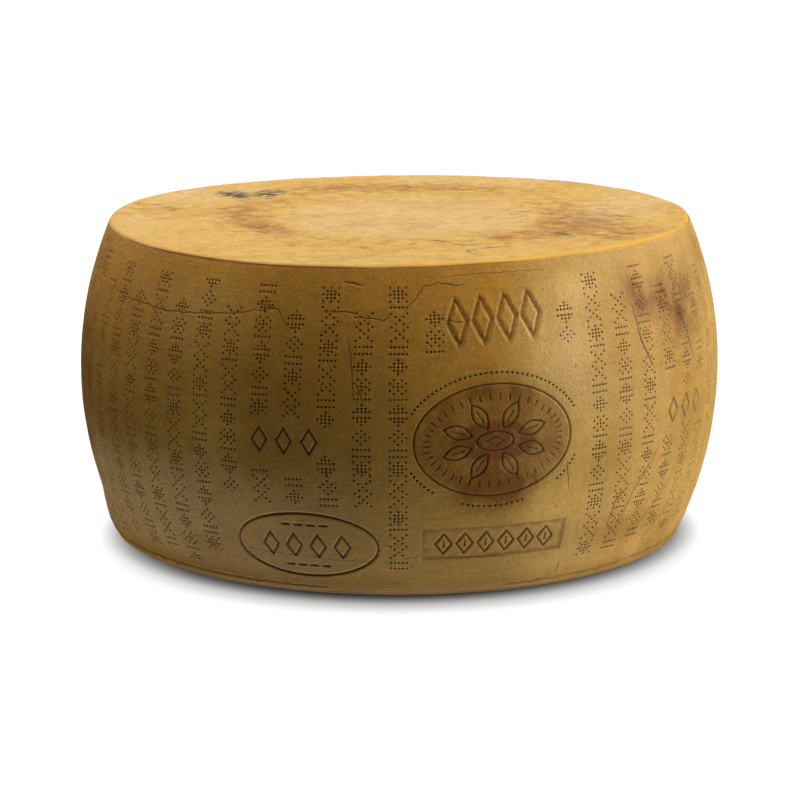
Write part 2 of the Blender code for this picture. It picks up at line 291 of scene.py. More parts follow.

# Stains of the side, and painted shade low on the right near the foot: angle, height, half width, half
# height, where the edge is full, and strength
SIDE_STAINS_AND_SHADE = (
    (15.6, 0.109, 0.057, 0.0405, 0.14, 0.50),
    (15.6, 0.109, 0.031, 0.0150, 0.25, 0.60),
    (15.6, 0.146, 0.040, 0.0160, 0.8, 0.28),
    (16.6, 0.080, 0.050, 0.0170, 0.8, 0.55),
    (15.0, 0.069, 0.038, 0.0150, 0.8, 0.70),
    (-60.0, 0.098, 0.050, 0.0450, 0.9, 0.28),
    (58.0, 0.150, 0.040, 0.0350, 0.9, 0.14),
    (-38.0, 0.026, 0.046, 0.0200, 0.9, 0.30),
    (-80.0, 0.072, 0.034, 0.0400, 0.9, 0.36),
    (-78.0, 0.205, 0.040, 0.0250, 0.9, 0.34),
    (78.0, 0.205, 0.034, 0.0250, 0.9, 0.34),
    (56.0, 0.200, 0.028, 0.0240, 0.9, 0.30),
    (45.0, 0.196, 0.021, 0.0260, 0.9, 0.46),
    # painted shade low on the right, near the foot
    (58.0, 0.014, 0.034, 0.0200, 0.9, 0.50),
    (100.0, 0.060, 0.050, 0.0360, 0.9, 0.34),
    (-100.0, 0.040, 0.060, 0.0300, 0.9, 0.34),
    (25.0, 0.036, 0.030, 0.0200, 0.9, 0.24),
    (50.0, 0.187, 0.034, 0.0220, 0.9, 0.62),
    (58.0, 0.176, 0.040, 0.0340, 0.9, 0.62),
    (66.0, 0.184, 0.050, 0.0460, 0.9, 0.34),
    (44.0, 0.034, 0.070, 0.0200, 0.9, 0.36),
    (-80.0, 0.125, 0.075, 0.0700, 0.9, 0.66),
    (-118.0, 0.150, 0.070, 0.0400, 0.9, 0.50),
    (128.0, 0.080, 0.060, 0.0500, 0.9, 0.45),
    (170.0, 0.170, 0.080, 0.0300, 0.9, 0.45),
)

# Painted sheen: lighter places of the side, also made glossier by the shader, in the same order
SIDE_PAINTED_SHEENS = (
    (27.0, 0.168, 0.053, 0.047, 0.9, 0.85),
    (31.0, 0.203, 0.040, 0.020, 0.9, 0.80),
    (-36.0, 0.185, 0.060, 0.050, 0.9, 0.40),
    (27.0, 0.062, 0.035, 0.030, 0.9, 0.70),
    (-34.0, 0.112, 0.040, 0.040, 0.9, 0.34),
    (-27.0, 0.060, 0.044, 0.026, 0.9, 0.40),
    (31.0, 0.116, 0.030, 0.042, 0.9, 0.55),
    (140.0, 0.165, 0.070, 0.050, 0.9, 0.50),
    (-150.0, 0.090, 0.080, 0.060, 0.9, 0.40),
)

# Places of the right side that keep their amber, with less of the tan painted as light, in the same order
SIDE_GLOWS = (
    (48.0, 0.170, 0.070, 0.060, 0.9, 0.50),
    (62.0, 0.110, 0.060, 0.070, 0.9, 0.45),
    (38.0, 0.088, 0.030, 0.034, 0.9, 0.35),
    (60.0, 0.030, 0.050, 0.024, 0.9, 0.40),
    (110.0, 0.130, 0.090, 0.060, 0.9, 0.45),
    (150.0, 0.070, 0.080, 0.050, 0.9, 0.35),
)

# Where the rind turns to amber, to its low colours and to the tan painted as light on its right side
AMBER_RISE = (0.075, 0.220)
LOW_FALL = (0.060, 0.105)
RIGHT_PAINTED_LIGHT_RISE = (0.26, 0.48)
ASHEN_RISE = (-0.15, 0.85)
TAN_SHARES = (0.17, 0.77, 0.16)
ASHEN_SHARE = 0.84

# Stains of the upper face: place, half sizes, turn in degrees and strength
FACE_STAINS = (
    (-0.092, -0.045, 0.050, 0.018, 124.0, 0.90),
    (-0.104, -0.012, 0.076, 0.038, 105.0, 0.45),
    (-0.117, 0.040, 0.060, 0.026, 75.0, 0.45),
    (-0.176, 0.040, 0.050, 0.030, 70.0, 0.65),
    (-0.066, 0.134, 0.080, 0.032, 15.0, 0.60),
    (0.010, 0.146, 0.130, 0.034, -4.0, 0.75),
    (0.116, 0.000, 0.090, 0.060, 100.0, 0.50),
    (0.134, -0.046, 0.080, 0.056, 100.0, 0.65),
    (0.092, -0.086, 0.064, 0.030, 30.0, 0.70),
    (0.152, -0.092, 0.066, 0.034, 50.0, 0.60),
)
PALE_DISC = (0.011, 0.003, 0.088, 0.092)
PALE_EDGE = (0.80, 1.10)
FACE_PATCH_EDGE = 0.8

# Painted glints on lighter places of the upper face, and its dustier places, in the same order
FACE_PAINTED_GLINTS = (
    (-0.050, -0.160, 0.130, 0.040, -8.0, 0.95),
    (-0.030, 0.020, 0.060, 0.040, 20.0, 0.40),
)
FACE_DUST = (
    (0.165, 0.050, 0.050, 0.110, -20.0, 0.80),
    (-0.140, 0.110, 0.090, 0.050, 40.0, 0.80),
    (0.060, 0.180, 0.120, 0.035, -15.0, 0.60),
    (-0.190, -0.020, 0.030, 0.070, 10.0, 0.50),
)

# Where the rounded edge turns to the rim's gold and then to the face, in shares of its width
FACE_START = (0.35, 1.1)
RIM_START = (0.25, 0.65)
RIM_END = (0.95, 1.2)

# How golden the rim is all round, and in stretches where more gold is painted as highlight
RIM_SHARES = (0.15, 0.75)
RIM_PAINTED_HIGHLIGHTS = (
    (32.0, 0.223, 0.170, 0.050, 0.7, 1.0),
    (-160.0, 0.223, 0.160, 0.050, 0.7, 0.8),
)

# The browner ring round the pale disc, in radii of the disc
HALO_START = (0.95, 1.20)
HALO_END = (1.35, 1.85)
HALO_STAIN = 0.42

# Smudges of ink on the upper face: place, half sizes, turn, colour and strength
FACE_DABS = (
    ((-0.121, 0.106), (0.017, 0.030), 20.0, BLUE_INK, 0.95),
    ((-0.095, 0.112), (0.016, 0.028), -15.0, BLUE_INK, 0.95),
    ((0.048, -0.148), (0.010, 0.005), 75.0, GREEN_INK, 0.9),
    ((0.060, -0.137), (0.011, 0.004), 10.0, GREEN_INK, 0.9),
    ((0.112, -0.084), (0.013, 0.005), -50.0, GREEN_INK, 0.9),
    ((0.158, -0.005), (0.013, 0.006), -40.0, GREEN_INK, 0.8),
    ((0.026, -0.104), (0.012, 0.003), -30.0, BROWN_STAIN_AND_SHADE, 0.8),
    ((0.041, -0.121), (0.011, 0.003), -35.0, BROWN_STAIN_AND_SHADE, 0.8),
)
DAB_DEPTH = 0.02

# How each kind of mark is coloured: start and end of its edge, strength and colour. The dark of creases,
# of the figures' grooves and of the foot's ledge lines is painted shade; the crack tint also paints
# shadow lines along the edges' creases, and the pin tint the shade where the foot meets the floor
MARK_TINTS = (
    ("press", 0.12, 0.65, 0.85, LINE_AND_CREASE_SHADE_COLOUR),
    # wrinkles and the painted shade in grooves of the figures, the plate's bevel and the foot's ledge
    ("crease_and_shade", 0.10, 0.90, 0.45, LINE_AND_CREASE_SHADE_COLOUR),
    # cracks, and the painted shadow lines of the edges' creases
    ("crack", 0.10, 0.55, 0.75, CRACK_AND_SHADOW_LINE_COLOUR),
    ("scratch", 0.08, 0.45, 0.86, SCRATCH_COLOUR),
    # pins, and the painted shade where the foot meets the floor
    ("pit_and_contact_shade", 0.02, 0.29, 0.94, PIN_AND_CONTACT_SHADE_COLOUR),
)

# Noises of the rind: length, detail, roughness, distortion and, for some, a stretch
NOISES = {
    "blotch": (0.060, 3.0, 0.50, 0.0),
    "cloud": (0.024, 3.0, 0.55, 0.4),
    "mottle": (0.0085, 4.0, 0.60, 0.0),
    "grain": (0.0019, 2.0, 0.60, 0.0),
    "smear": (0.011, 6.0, 0.68, 0.3, (1.0, 1.0, 0.4)),
    "warm": (0.040, 5.0, 0.66, 0.4, (1.0, 1.0, 0.6)),
    "dry": (0.0070, 6.0, 0.74, 0.3),
    "streak": (0.046, 9.0, 0.78, 0.3),
    "fleck": (0.013, 7.0, 0.74, 0.0),
    "bloom": (0.0085, 6.0, 0.76, 0.6),
    "glint": (0.0075, 4.0, 0.60, 0.0, (0.18, 1.0, 1.0)),
    "speck": (0.0042, 1.0, 0.50, 0.0),
    "patch": (0.09, 1.0, 0.50, 0.0),
    "ripple": (0.0026, 1.0, 0.50, 0.0, (0.12, 0.12, 1.0)),
}

# How the shader brings a noise or a tint from one range to another: low, high, start and end
RANGES = {
    "ripple_patch": (0.40, 0.60, 0.0, 1.0),
    "stain_cloud": (0.34, 0.62, 0.45, 0.80),
    "stain_smear": (0.34, 0.66, 0.02, 0.70),
    "tone_wave": (0.3, 0.7, -0.08, 0.08),
    "amber_wave": (0.3, 0.7, -0.07, 0.07),
    "warm": (0.50, 0.68, 0.0, 0.30),
    "dry": (0.52, 0.74, 0.0, 0.18),
    "streak": (0.42, 0.66, 0.0, 0.55),
    "fleck": (0.3, 0.7, -0.60, 0.60),
    "worn": (0.0, 1.2, 0.0, 0.90),
    "dark": (0.56, 0.80, 0.0, 0.72),
    "dust": (0.40, 0.60, 0.20, 0.60),
    "bloom": (0.50, 0.68, 0.0, 0.50),
    "glint": (0.50, 0.66, 0.15, 0.80),
    "side_mottle": (0.32, 0.68, 0.94, 1.06),
    "side_grain": (0.25, 0.75, 0.91, 1.09),
    "side_ripple": (0.0, 1.0, 0.95, 1.05),
    "face_mottle": (0.32, 0.68, 0.96, 1.03),
    "face_grain": (0.25, 0.75, 0.95, 1.05),
    "pale_speck": (0.72, 0.80, 0.0, 0.18),
    "brown_speck": (0.28, 0.21, 0.0, 0.45),
    "dab": (1.0, 0.3, 0.0, 1.0),
    "dullness": (0.3, 0.7, 0.48, 0.64),
    "wax": (0.1, 1.0, 0.0, 0.16),
    "shine": (0.1, 1.0, 0.17, 0.42),
    "face_shine": (0.0, 1.0, 1.0, 0.35),
}
DAB_BREAK = (0.39, 0.52)
DARK_STAIN_SHARE = 0.13
RIM_GOLD_SHARE = 0.9

# Bump of the rind: strength, distance, and the shares of grain, mottle and ripple
BUMP_STRENGTH = 0.65
BUMP_DISTANCE = 0.0006
BUMP_SHARES = (0.75, 0.8, 0.5)

# Studio: the floor's shade and emission, with a soft shadow painted into that emission round the wheel,
# its size, and the lamps
FLOOR_SHADE = 0.10
FLOOR_ROUGHNESS = 0.9
FLOOR_GAP = 0.0003
GLOW = (0.0, 1.0)
PAINTED_SHADOW_REACH = (0.150, 0.2205)
PAINTED_SHADOW_SHIFT = 0.0334
CONTACT_SHADOW_GLOW = (0.30, 1.0)
CONTACT_SHADOW_REACH = (0.190, 0.218)
STUDIO_RADIUS = 7.0
STUDIO_BEND = 1.5
STUDIO_HEIGHT = 6.0
STUDIO_BEND_STEPS = 8
STUDIO_STEPS = 64
STUDIO_WELD = 0.001
LAMP_TARGET = (0.0, 0.0, 0.11)
LAMPS = (
    ("top_lamp", (0.0, 0.2, 2.2), (2.0, 2.0), 50.0),
    ("right_lamp", (2.4, 0.3, 0.8), (1.2, 1.2), 31.0),
    ("low_right_lamp", (2.2, -0.9, 0.25), (0.9, 0.4), 18.0),
    ("left_lamp", (-2.4, 0.3, 0.8), (1.2, 1.2), 6.0),
    ("back_lamp", (-1.4, 2.4, 1.2), (1.4, 1.2), 16.0),
)
DULL_LAMPS = ("back_lamp",)
BOUNCE_COLOUR = (1.0, 1.0, 1.0)
BOUNCE_RISE = (-1.0, -0.6)
BOUNCE = (1.75, 0.0)

CAMERA_SIDE = 0.0005
CAMERA_DISTANCE = 2.3372
CAMERA_HEIGHT = 0.59237
CAMERA_PITCH = 12.1328
CAMERA_ROLL = 0.3917
CAMERA_LENS = 151.16
SENSOR_WIDTH = 36.0


def waves(angle, table):
    """Sum of the slow waves of a table, at angles in degrees."""
    return sum(height * np.cos(count * np.radians(angle - crest)) for count, height, crest in table)


def side_radius(along):
    return BULGE_RADIUS - SIDE_ARC_RADIUS * (1.0 - np.cos(along / SIDE_ARC_RADIUS))


def side_height(along):
    return BULGE_HEIGHT + SIDE_ARC_RADIUS * np.sin(along / SIDE_ARC_RADIUS)


def along_at(height):
    return SIDE_ARC_RADIUS * math.asin((height - BULGE_HEIGHT) / SIDE_ARC_RADIUS)


def smooth_share(value, low, high):
    """0 below low, 1 above high, and a smooth rise between them."""
    share = np.clip((value - low) / (high - low), 0.0, 1.0)
    return share * share * (3.0 - 2.0 * share)


def turned_by(angle, middle):
    """Angles from a middle angle, between -180 and 180 degrees."""
    return (angle - middle + 180.0) % 360.0 - 180.0


def foot_swell(angle, radius, height):
    """How far the foot's left side stands out, fading inwards under the foot."""
    middle, half_width = SWELL_ANGLES
    centre, half_height = SWELL_HEIGHTS
    across = smooth_share(1.0 - abs(turned_by(angle, middle)) / half_width, 0.0, 1.0)
    along = smooth_share(1.0 - abs(height - centre) / half_height, 0.0, 1.0)
    return SWELL_REACH * across * along * smooth_share(radius, *SWELL_RADII)


def wheel_points(angle, radius, height):
    """Points of the wheel, with its slow unevenness, from arrays of angle, radius and height."""
    share = height / WHEEL_HEIGHT
    turn = np.radians(angle)
    reach = radius + waves(angle, SIDE_WAVES) * radius / BULGE_RADIUS + foot_swell(angle, radius, height)
    lean = LEAN * (2.0 * share - 1.0)
    across = reach * np.sin(turn) + lean * math.sin(math.radians(LEAN_ANGLE))
    deep = -reach * np.cos(turn) - lean * math.cos(math.radians(LEAN_ANGLE))
    lift = waves(angle, RIM_WAVES) * share * radius / BULGE_RADIUS
    return np.stack([across, deep, height + lift], axis=-1)


def layered_noise(points, layers, seed):
    """Height of a stack of noise layers at 3D points."""
    total = np.zeros(len(points))
    step_x, share_y, step_z = LAYER_OFFSETS
    for index, (length, height) in enumerate(layers):
        offset = Vector((seed + step_x * index, share_y * seed, step_z * index))
        values = [noise.noise(Vector(point) / length + offset) for point in points]
        total += height * np.array(values)
    return total


def patches(angle, height, table):
    """Summed strength of the soft oval patches of a table, at arrays of angle and height."""
    total = np.zeros(len(angle))
    for middle, centre, wide, tall, edge, strength in table:
        across = np.radians(turned_by(angle, middle)) * BULGE_RADIUS / wide
        along = (height - centre) / tall
        total += strength * smooth_share(1.0 - np.hypot(across, along), 0.0, edge)
    return total


def side_fields(angle, height):
    """How stained and painted with shade towards the floor, how lit by painted sheen, how tan, which is
    painted light on the right, and how amber and ashen the side is, at arrays of angle and height.
    """
    sideways = np.sin(np.radians(angle))
    low = 1.0 - smooth_share(height, *LOW_FALL)
    plain_tan, right_painted_light, low_tan = TAN_SHARES
    # Painted shade towards the floor: the rind is made browner and less tan there
    foot = 1.0 - smooth_share(height, *FOOT_SHADE_FALL)
    # The tan is painted light on the right side, and a little all round and low down
    tan = plain_tan + right_painted_light * smooth_share(sideways, *RIGHT_PAINTED_LIGHT_RISE) + low_tan * low
    ashen = ASHEN_SHARE * low * smooth_share(-sideways, *ASHEN_RISE) * smooth_share(height, *ASHEN_FOOT)
    return {
        "stain_and_shade": patches(angle, height, SIDE_STAINS_AND_SHADE) + FOOT_SHADE_BROWN * foot,
        "painted_sheen_and_gloss": patches(angle, height, SIDE_PAINTED_SHEENS),
        "tone": tan * (1.0 - patches(angle, height, SIDE_GLOWS)) * (1.0 - FOOT_SHADE_TONE * foot),
        "amber": smooth_share(height, *AMBER_RISE),
        "ashen": ashen,
    }


def face_patches(points, table):
    """Summed strength of the soft turned ovals of a table, at points of the upper face."""
    total = np.zeros(len(points))
    for across, deep, wide, tall, turn, strength in table:
        cosine, sine = math.cos(math.radians(turn)), math.sin(math.radians(turn))
        x, y = points[:, 0] - across, points[:, 1] - deep
        reach = np.hypot((x * cosine + y * sine) / wide, (y * cosine - x * sine) / tall)
        total += strength * smooth_share(1.0 - reach, 0.0, FACE_PATCH_EDGE)
    return total


def face_fields(points):
    """How stained, how lit by painted glints, how dusty and how pale the upper face is."""
    tables = (FACE_STAINS, FACE_PAINTED_GLINTS, FACE_DUST)
    stain_and_shade, painted_sheen_and_gloss, dust = (face_patches(points, table) for table in tables)
    across, deep, wide, tall = PALE_DISC
    reach = np.hypot((points[:, 0] - across) / wide, (points[:, 1] - deep) / tall)
    halo = smooth_share(reach, *HALO_START) * (1.0 - smooth_share(reach, *HALO_END))
    tone = 1.0 - smooth_share(reach, *PALE_EDGE)
    return {"stain_and_shade": stain_and_shade + HALO_STAIN * halo, "painted_sheen_and_gloss": painted_sheen_and_gloss, "ashen": dust, "tone": tone}


def unrolled(place):
    """Column and row on the unrolled side for an angle and a height, and the stretch there."""
    angle, height = place
    row = along_at(height)
    return np.array([BULGE_RADIUS * math.radians(angle), row]), BULGE_RADIUS / side_radius(row)


def zone(place, size):
    """Middle and half sizes on the unrolled side of a box with a true width and height."""
    middle, stretch = unrolled(place)
    return middle, np.array([size[0] / 2.0 * stretch, size[1] / 2.0])


def laid(place, points):
    """Points given in true metres about a place, put on the unrolled side."""
    middle, stretch = unrolled(place)
    return middle + np.array(points) * np.array([stretch, 1.0])


def oval(width, height):
    """An oval line with about even steps."""
    count = int(math.pi * (width + height) / 2.0 / OVAL_STEP)
    turns = np.arange(count) * 2.0 * math.pi / count
    return np.stack([width / 2.0 * np.cos(turns), height / 2.0 * np.sin(turns)], axis=-1)


def lozenge(width, height):
    return np.array(((1, 0), (0, 1), (-1, 0), (0, -1))) * np.array((width, height)) / 2.0


def lens(length, width):
    """A pointed oval that lies along X."""
    share = np.linspace(1.0, -1.0, LENS_STEPS + 1)[:-1]
    upper = np.stack([length / 2.0 * share, width / 2.0 * (1.0 - share * share)], axis=-1)
    return np.concatenate([upper, -upper])


def upright(length):
    return np.array([(0.0, -length / 2.0), (0.0, length / 2.0)])


def level(length):
    return np.array([(-length / 2.0, 0.0), (length / 2.0, 0.0)])


def moved(points, shift, tilt):
    """Points turned by a tilt in degrees about their own origin and then shifted."""
    turn = math.radians(tilt)
    matrix = np.array([[math.cos(turn), math.sin(turn)], [-math.sin(turn), math.cos(turn)]])
    return np.array(points) @ matrix + np.array(shift)


def row_offsets(count, pitch):
    return [(index - (count - 1) / 2.0) * pitch for index in range(count)]


def subdivided(points, closed, step):
    """The same line with no step longer than a given length."""
    ends = np.roll(points, -1, axis=0) if closed else points[1:]
    line = []
    for start, end in zip(points, ends):
        pieces = max(1, math.ceil(np.linalg.norm(end - start) / step))
        line.extend(start + (end - start) * piece / pieces for piece in range(pieces))
    if not closed:
        line.append(points[-1])
    return np.array(line)


class Line:
    """A pressed line or a crack on the unrolled side. An open line narrows to a point if asked."""

    def __init__(self, points, size, kind, closed=True, tapered=False):
        self.width, self.depth, self.lip = size
        self.kind = kind
        self.closed = closed
        self.points = points
        self.widths = np.full(len(points), self.width)
        if tapered:
            least, rise, power = CRACK_TAPER
            share = np.linspace(0.0, 1.0, len(points))
            self.widths *= least + rise * np.sin(math.pi * share) ** power

    def normals(self):
        """Mitred sideways direction at each point, longer at corners."""
        ahead = np.roll(self.points, -1, axis=0) - self.points
        behind = self.points - np.roll(self.points, 1, axis=0)
        if not self.closed:
            ahead[-1] = behind[-1]
            behind[0] = ahead[0]
        ahead /= np.linalg.norm(ahead, axis=1, keepdims=True)
        behind /= np.linalg.norm(behind, axis=1, keepdims=True)
        first = np.stack([-ahead[:, 1], ahead[:, 0]], axis=-1)
        mean = first + np.stack([-behind[:, 1], behind[:, 0]], axis=-1)
        least_length, least_share = MITRE_LIMITS
        mean /= np.maximum(np.linalg.norm(mean, axis=1, keepdims=True), least_length)
        return mean / np.maximum((mean * first).sum(axis=1, keepdims=True), least_share)

    def loops(self):
        """Lines that the mesh follows, each with whether it closes."""
        reach = self.normals() * self.widths[:, None]
        left = self.points + reach
        right = self.points - reach
        if self.closed:
            return [(left, True), (right, True), (self.points, True)]
        start = self.points[0] - self.points[1]
        finish = self.points[-1] - self.points[-2]
        head = self.points[0] + start / np.linalg.norm(start) * self.widths[0]
        tail = self.points[-1] + finish / np.linalg.norm(finish) * self.widths[-1]
        return [(np.concatenate([[head], left, [tail], right[::-1]]), True), (self.points, False)]

    def guards(self):
        """Spots beside the line, where the rind is level again."""
        reach = self.normals() * self.widths[:, None] * GUARD_REACH
        return np.concatenate([self.points + reach, self.points - reach])

    def nearness(self, spots):
        """Distance of spots from the line, in half widths."""
        starts = self.points if self.closed else self.points[:-1]
        ends = np.roll(self.points, -1, axis=0) if self.closed else self.points[1:]
        next_widths = np.roll(self.widths, -1) if self.closed else self.widths[1:]
        best = np.full(len(spots), np.inf)
        for start, end, wide, wide_end in zip(starts, ends, self.widths, next_widths):
            way = end - start
            share = np.clip((spots - start) @ way / (way @ way), 0.0, 1.0)
            gap = np.linalg.norm(spots - start - share[:, None] * way, axis=1)
            best = np.minimum(best, gap / (wide + (wide_end - wide) * share))
        return best

    def press(self, spots):
        """Depth below the rind and share of the full depth at spots."""
        margin = GUARD_REACH * self.width
        low = self.points.min(axis=0) - margin
        high = self.points.max(axis=0) + margin
        near = np.where(((spots > low) & (spots < high)).all(axis=1))[0]
        depth = np.zeros(len(spots))
        share = np.zeros(len(spots))
        if len(near):
            gap = self.nearness(spots[near])
            inner = np.clip(1.0 - gap, 0.0, 1.0)
            outer = np.clip(1.0 - abs(gap - 1.0), 0.0, 1.0)
            depth[near] = self.depth * inner - self.lip * outer
            share[near] = inner
        return depth, share


class Plate:
    """A shallow rectangular recess with bevelled edges on the unrolled side."""

    def __init__(self, place, size, depth, bevel):
        self.middle, self.half = zone(place, size)
        self.depth = depth
        self.bevel = bevel

    def loops(self):
        ways = np.array(((1, 1), (-1, 1), (-1, -1), (1, -1)))
        rings = [self.middle + ways * (self.half - inset) for inset in (0.0, self.bevel)]
        return [(subdivided(ring, True, LINE_STEP), True) for ring in rings]

    def inside(self, spots):
        """How far spots lie inside the outer edge, in widths of the bevel."""
        return (self.half - abs(spots - self.middle)).min(axis=1) / self.bevel

    def press(self, spots):
        return self.depth * np.clip(self.inside(spots), 0.0, 1.0)

    def edge(self, spots):
        """1 on the lower edge of the bevel, 0 beyond it."""
        return np.clip(1.0 - abs(self.inside(spots) - 1.0), 0.0, 1.0)


def mark_line(place, points, size, closed=True, kind="press"):
    return Line(subdivided(laid(place, points), closed, LINE_STEP), size, kind, closed)


def seal_lines():
    """A large oval line, a ring of short ticks inside it, a rosette of petals and a small oval."""
    lines = [mark_line(SEAL_PLACE, oval(*SEAL_SIZE), THIN_GROOVE)]
    for index in range(PETAL_COUNT):
        turn = 2.0 * math.pi * (index + 0.5) / PETAL_COUNT
        middle = (PETAL_REACH[0] * math.cos(turn), PETAL_REACH[1] * math.sin(turn))
        tilt = math.degrees(math.atan2(middle[1], middle[0]))
        lines.append(mark_line(SEAL_PLACE, moved(lens(*PETAL_SIZE), middle, tilt), THIN_GROOVE))
        vein = moved(level(PETAL_SIZE[0] * PETAL_VEIN), middle, tilt)
        lines.append(mark_line(SEAL_PLACE, vein, FINE_GROOVE, closed=False))
    half = np.array(SEAL_SIZE) / 2.0
    for index in range(TICK_COUNT):
        turn = 2.0 * math.pi * (index + 0.5) / TICK_COUNT
        way = np.array([math.cos(turn) / half[0], math.sin(turn) / half[1]])
        way /= np.linalg.norm(way)
        edge = np.array([math.cos(turn), math.sin(turn)]) * half
        tick = np.array([edge - way * TICK_INSET, edge - way * (TICK_INSET + TICK_LENGTH)])
        lines.append(mark_line(SEAL_PLACE, tick, FINE_GROOVE, closed=False))
    lines.append(mark_line(SEAL_PLACE, oval(*SEAL_HEART_SIZE), THIN_GROOVE))
    lines.append(mark_line(SEAL_PLACE, lozenge(*SEAL_KNOT_SIZE), FINE_GROOVE))
    return lines


def row_lines(place, row, outline, groove, height=0.0, tilt=0.0, closed=True, kind="press"):
    """A row of one outline, from its count and pitch, turned as a whole by a tilt."""
    middles = [moved([(offset, height)], (0.0, 0.0), tilt)[0] for offset in row_offsets(*row)]
    return [mark_line(place, moved(outline, middle, tilt), groove, closed, kind) for middle in middles]


def figure_lines():
    """Tall lozenges in a row that rises a little."""
    outline = lozenge(*FIGURE_SIZE)
    # Their grooves are darkened a little with the creases' tint: painted shade
    return row_lines(FIGURES_PLACE, FIGURE_ROW, outline, BOLD_GROOVE, tilt=FIGURES_TILT, kind="crease_and_shade")


def small_oval_lines():
    """A flatter oval line low on the side, round a row of grains between two rows of dashes."""
    lines = [mark_line(SMALL_OVAL_PLACE, oval(*SMALL_OVAL_SIZE), MEDIUM_GROOVE)]
    lines += row_lines(SMALL_OVAL_PLACE, GRAIN_ROW, lozenge(*GRAIN_SIZE), MEDIUM_GROOVE)
    for height in DASH_HEIGHTS:
        dash = level(DASH_LENGTH)
        lines += row_lines(SMALL_OVAL_PLACE, DASH_ROW, dash, THIN_GROOVE, height, closed=False)
    return lines


def plate_lines():
    """Lozenges with a short line in each, pressed into the plate."""
    figures = row_lines(PLATE_PLACE, PLATE_ROW, lozenge(*PLATE_FIGURE_SIZE), MEDIUM_GROOVE)
    veins = row_lines(PLATE_PLACE, PLATE_ROW, upright(PLATE_VEIN), THIN_GROOVE, closed=False)
    return [line for pair in zip(figures, veins) for line in pair]


def wrapped(angle):
    """The same angle, counted from the seam."""
    return (angle - SEAM_ANGLE) % 360.0 + SEAM_ANGLE


def triple_angles():
    return [wrapped(TRIPLE_FIRST_ANGLE + group * TRIPLE_STEP) for group in range(TRIPLE_COUNT)]


def triple_lines():
    """Groups of three small lozenges, repeated round the wheel."""
    lines = []
    for angle in triple_angles():
        lines += row_lines((angle, TRIPLE_HEIGHT), TRIPLE_ROW, lozenge(*TRIPLE_SIZE), MEDIUM_GROOVE)
    return lines


def crack(places, size, kind="crack"):
    """A crooked tapering crack through a few places on the side."""
    points = np.array([unrolled(place)[0] for place in places])
    line = subdivided(points, False, CRACK_STEP)
    offsets = []
    for spot in line:
        where = Vector((spot[0], spot[1], 0.0)) / CRACK_WANDER_LENGTH
        offsets.append((noise.noise(where), noise.noise(where + Vector(CRACK_OFFSET))))
    return Line(line + CRACK_WANDER * np.array(offsets), size, kind, closed=False, tapered=True)


def crack_lines():
    return [crack(places, size, kind) for size, kind, places in CRACKS]


def plain_cracks(rng):
    """Short crooked cracks round the sides and the back."""
    lines = []
    for index in range(BACK_CRACKS):
        share = (index + rng.random()) / BACK_CRACKS
        angle = BACK_CRACK_START + (BACK_CRACK_END - BACK_CRACK_START) * share
        height = rng.uniform(*BACK_CRACK_HEIGHTS)
        turn = rng.uniform(0.0, math.pi)
        places = []
        for step in range(3):
            reach = (step - 1) * rng.uniform(*BACK_CRACK_REACH)
            bend = rng.uniform(-BACK_CRACK_BEND, BACK_CRACK_BEND) * reach
            across = reach * math.cos(turn) - bend * math.sin(turn)
            along = reach * math.sin(turn) + bend * math.cos(turn)
            places.append((wrapped(angle + math.degrees(across / BULGE_RADIUS)), height + along))
        lines.append(crack(places, rng.choice((HAIR_CRACK, OPEN_CRACK))))
    return lines


# The motifs of the pins, in rows from the top down. An x is a pin. A column runs through MOTIFS.
STAR = "x.x.x .xxx. xxxxx .xxx. x.x.x"
BAR = "xxxxx"
BRAID = "x...x .x.x. ..x.. .x.x. x...x .x.x. ..x.. .x.x. x...x"
PAIR = "xxxxx ..... xxxxx"
FULL = "..x.. .xxx. xxxxx .xxx. ..x.."
FLOWER = ".x.x. x.x.x .xxx. x.x.x .x.x."
PEAK = "..x.. .xxx. xxxxx"
CUP = "xxxxx .xxx. ..x.."
EYE = "..x.. .x.x. x.x.x .x.x. ..x.."
MOTIFS = (STAR, BAR, BRAID, PAIR, FULL, FLOWER, BAR, PEAK, CUP, EYE, PAIR, STAR, BRAID)

# Places without pins: middle, width and height
CLEAR_ZONES = [
    ((17.6, 0.080), (0.117, 0.168)),
    ((17.4, 0.196), (0.073, 0.072)),
    ((-17.2, 0.030), (0.106, 0.072)),
]
CLEAR_ZONES += [((angle, TRIPLE_HEIGHT), (0.0500, 0.0185)) for angle in triple_angles()]


def kept_clear(spot):
    """Whether a spot lies in a place of the side that holds a mark or stays bare, so has no pins."""
    for place, size in CLEAR_ZONES:
        middle, half = zone(place, size)
        if abs((spot - middle) / half).max() < 1.0:
            return True
    return False


def motif_spots(motif, middle, row, rng):
    """Places of a motif's pins, from its upper row."""
    spots = []
    for down, cells in enumerate(motif):
        for across, cell in enumerate(cells, -2):
            if cell == "x":
                spots.append(pin_spot(middle, row - down * PIN_ALONG, across, rng))
    return spots


